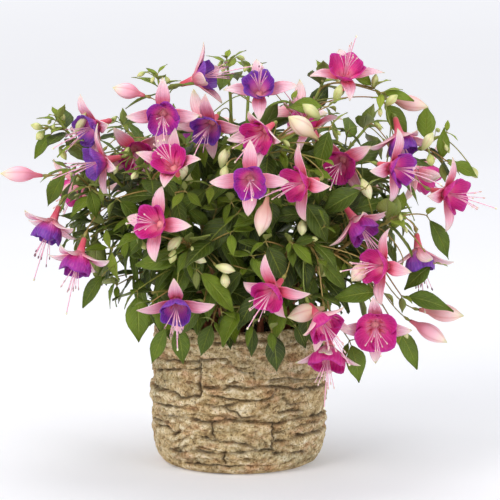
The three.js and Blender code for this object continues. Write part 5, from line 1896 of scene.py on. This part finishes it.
for number in range(TWIGS):
    add_twig(number)


def leaf_vein_group():
    """Veins: a midrib, side veins that run forward from it, and a fine net between them."""
    group, given = new_group("leaf_veins", "UV", ("Pairs",), ("Veins", "Net"))
    parts = add_node(group, "ShaderNodeSeparateXYZ", {"Vector": given["UV"]}).outputs
    aside = math_node(group, "ABSOLUTE", math_node(group, "SUBTRACT", parts["X"], 0.5))
    midrib = math_node(group, "SUBTRACT", 1.0, scaled(group, aside, 22.0))
    slant = scaled(group, math_node(group, "POWER", aside, 1.3), 0.75)
    forward = math_node(group, "SUBTRACT", parts["Y"], slant)
    turn = scaled(group, math_node(group, "MULTIPLY", forward, given["Pairs"]), math.pi)
    wave = math_node(group, "ABSOLUTE", math_node(group, "SINE", turn))
    lateral = math_node(group, "SUBTRACT", 1.0, scaled(group, wave, 3.6))
    midrib = math_node(group, "MAXIMUM", midrib, 0.0)
    lateral = scaled(group, math_node(group, "MAXIMUM", lateral, 0.0), 0.6)
    net = add_node(group, "ShaderNodeTexVoronoi", {"Vector": given["UV"], "Scale": 26.0},
                   feature="DISTANCE_TO_EDGE")
    add_node(group, "NodeGroupOutput", {"Veins": math_node(group, "MAXIMUM", midrib, lateral),
                                        "Net": net.outputs["Distance"]})
    return group


def leaf_material():
    """Leaf skin: dark when old and yellow-green when young, duller below, with sunk pale veins."""
    material, tree, shader = new_material(
        "leaf_skin", Roughness=0.42, Specular_IOR_Level=0.4, Subsurface_Weight=0.05,
        Subsurface_Scale=0.002, Subsurface_Radius=(0.5, 1.0, 0.2))
    patch = grain(tree, 45, 260, 0.35)
    veins = add_node(tree, "ShaderNodeGroup", {"UV": blade_places(tree)[0], "Pairs": 7.0},
                     node_tree=leaf_vein_group()).outputs
    age = mottled(tree, attribute(tree, "tint"), patch, 0.6)
    upper = ramp(tree, age, ((0.0, (50, 64, 8)), (0.3, (84, 105, 13)), (0.6, (118, 139, 24)),
                             (1.0, (168, 184, 62))))
    upper = blend(tree, scaled(tree, veins["Veins"], 0.6), upper, (164, 176, 76))
    lower = ramp(tree, age, ((0.0, (108, 120, 56)), (1.0, (166, 176, 88))))
    lower = blend(tree, scaled(tree, veins["Veins"], 0.5), lower, (176, 178, 126))
    tone = blend(tree, attribute(tree, "under"), upper, lower)
    height = math_node(tree, "SUBTRACT", scaled(tree, veins["Net"], 0.6), veins["Veins"])
    dress(tree, shader, tone, bump(tree, height, 0.8, 0.0011), scaled(tree, patch, 0.2, 0.34))
    return material


LEAF_SKIN = leaf_material()
for stem in STEM_LIST:
    stem.wood.make(stem.name + "_wood", [STEM_BARK], "leafy_stem", stem.node)
    stem.stalks.make(stem.name + "_stalks", [STALK_SKIN], "leafy_stem", stem.node)
    stem.leaves.make(stem.name + "_leaves", [LEAF_SKIN], "leafy_stem", stem.node)
    if stem.buds.count:
        stem.buds.make(stem.name + "_buds", [BUD_SKIN], "calyx", stem.node)
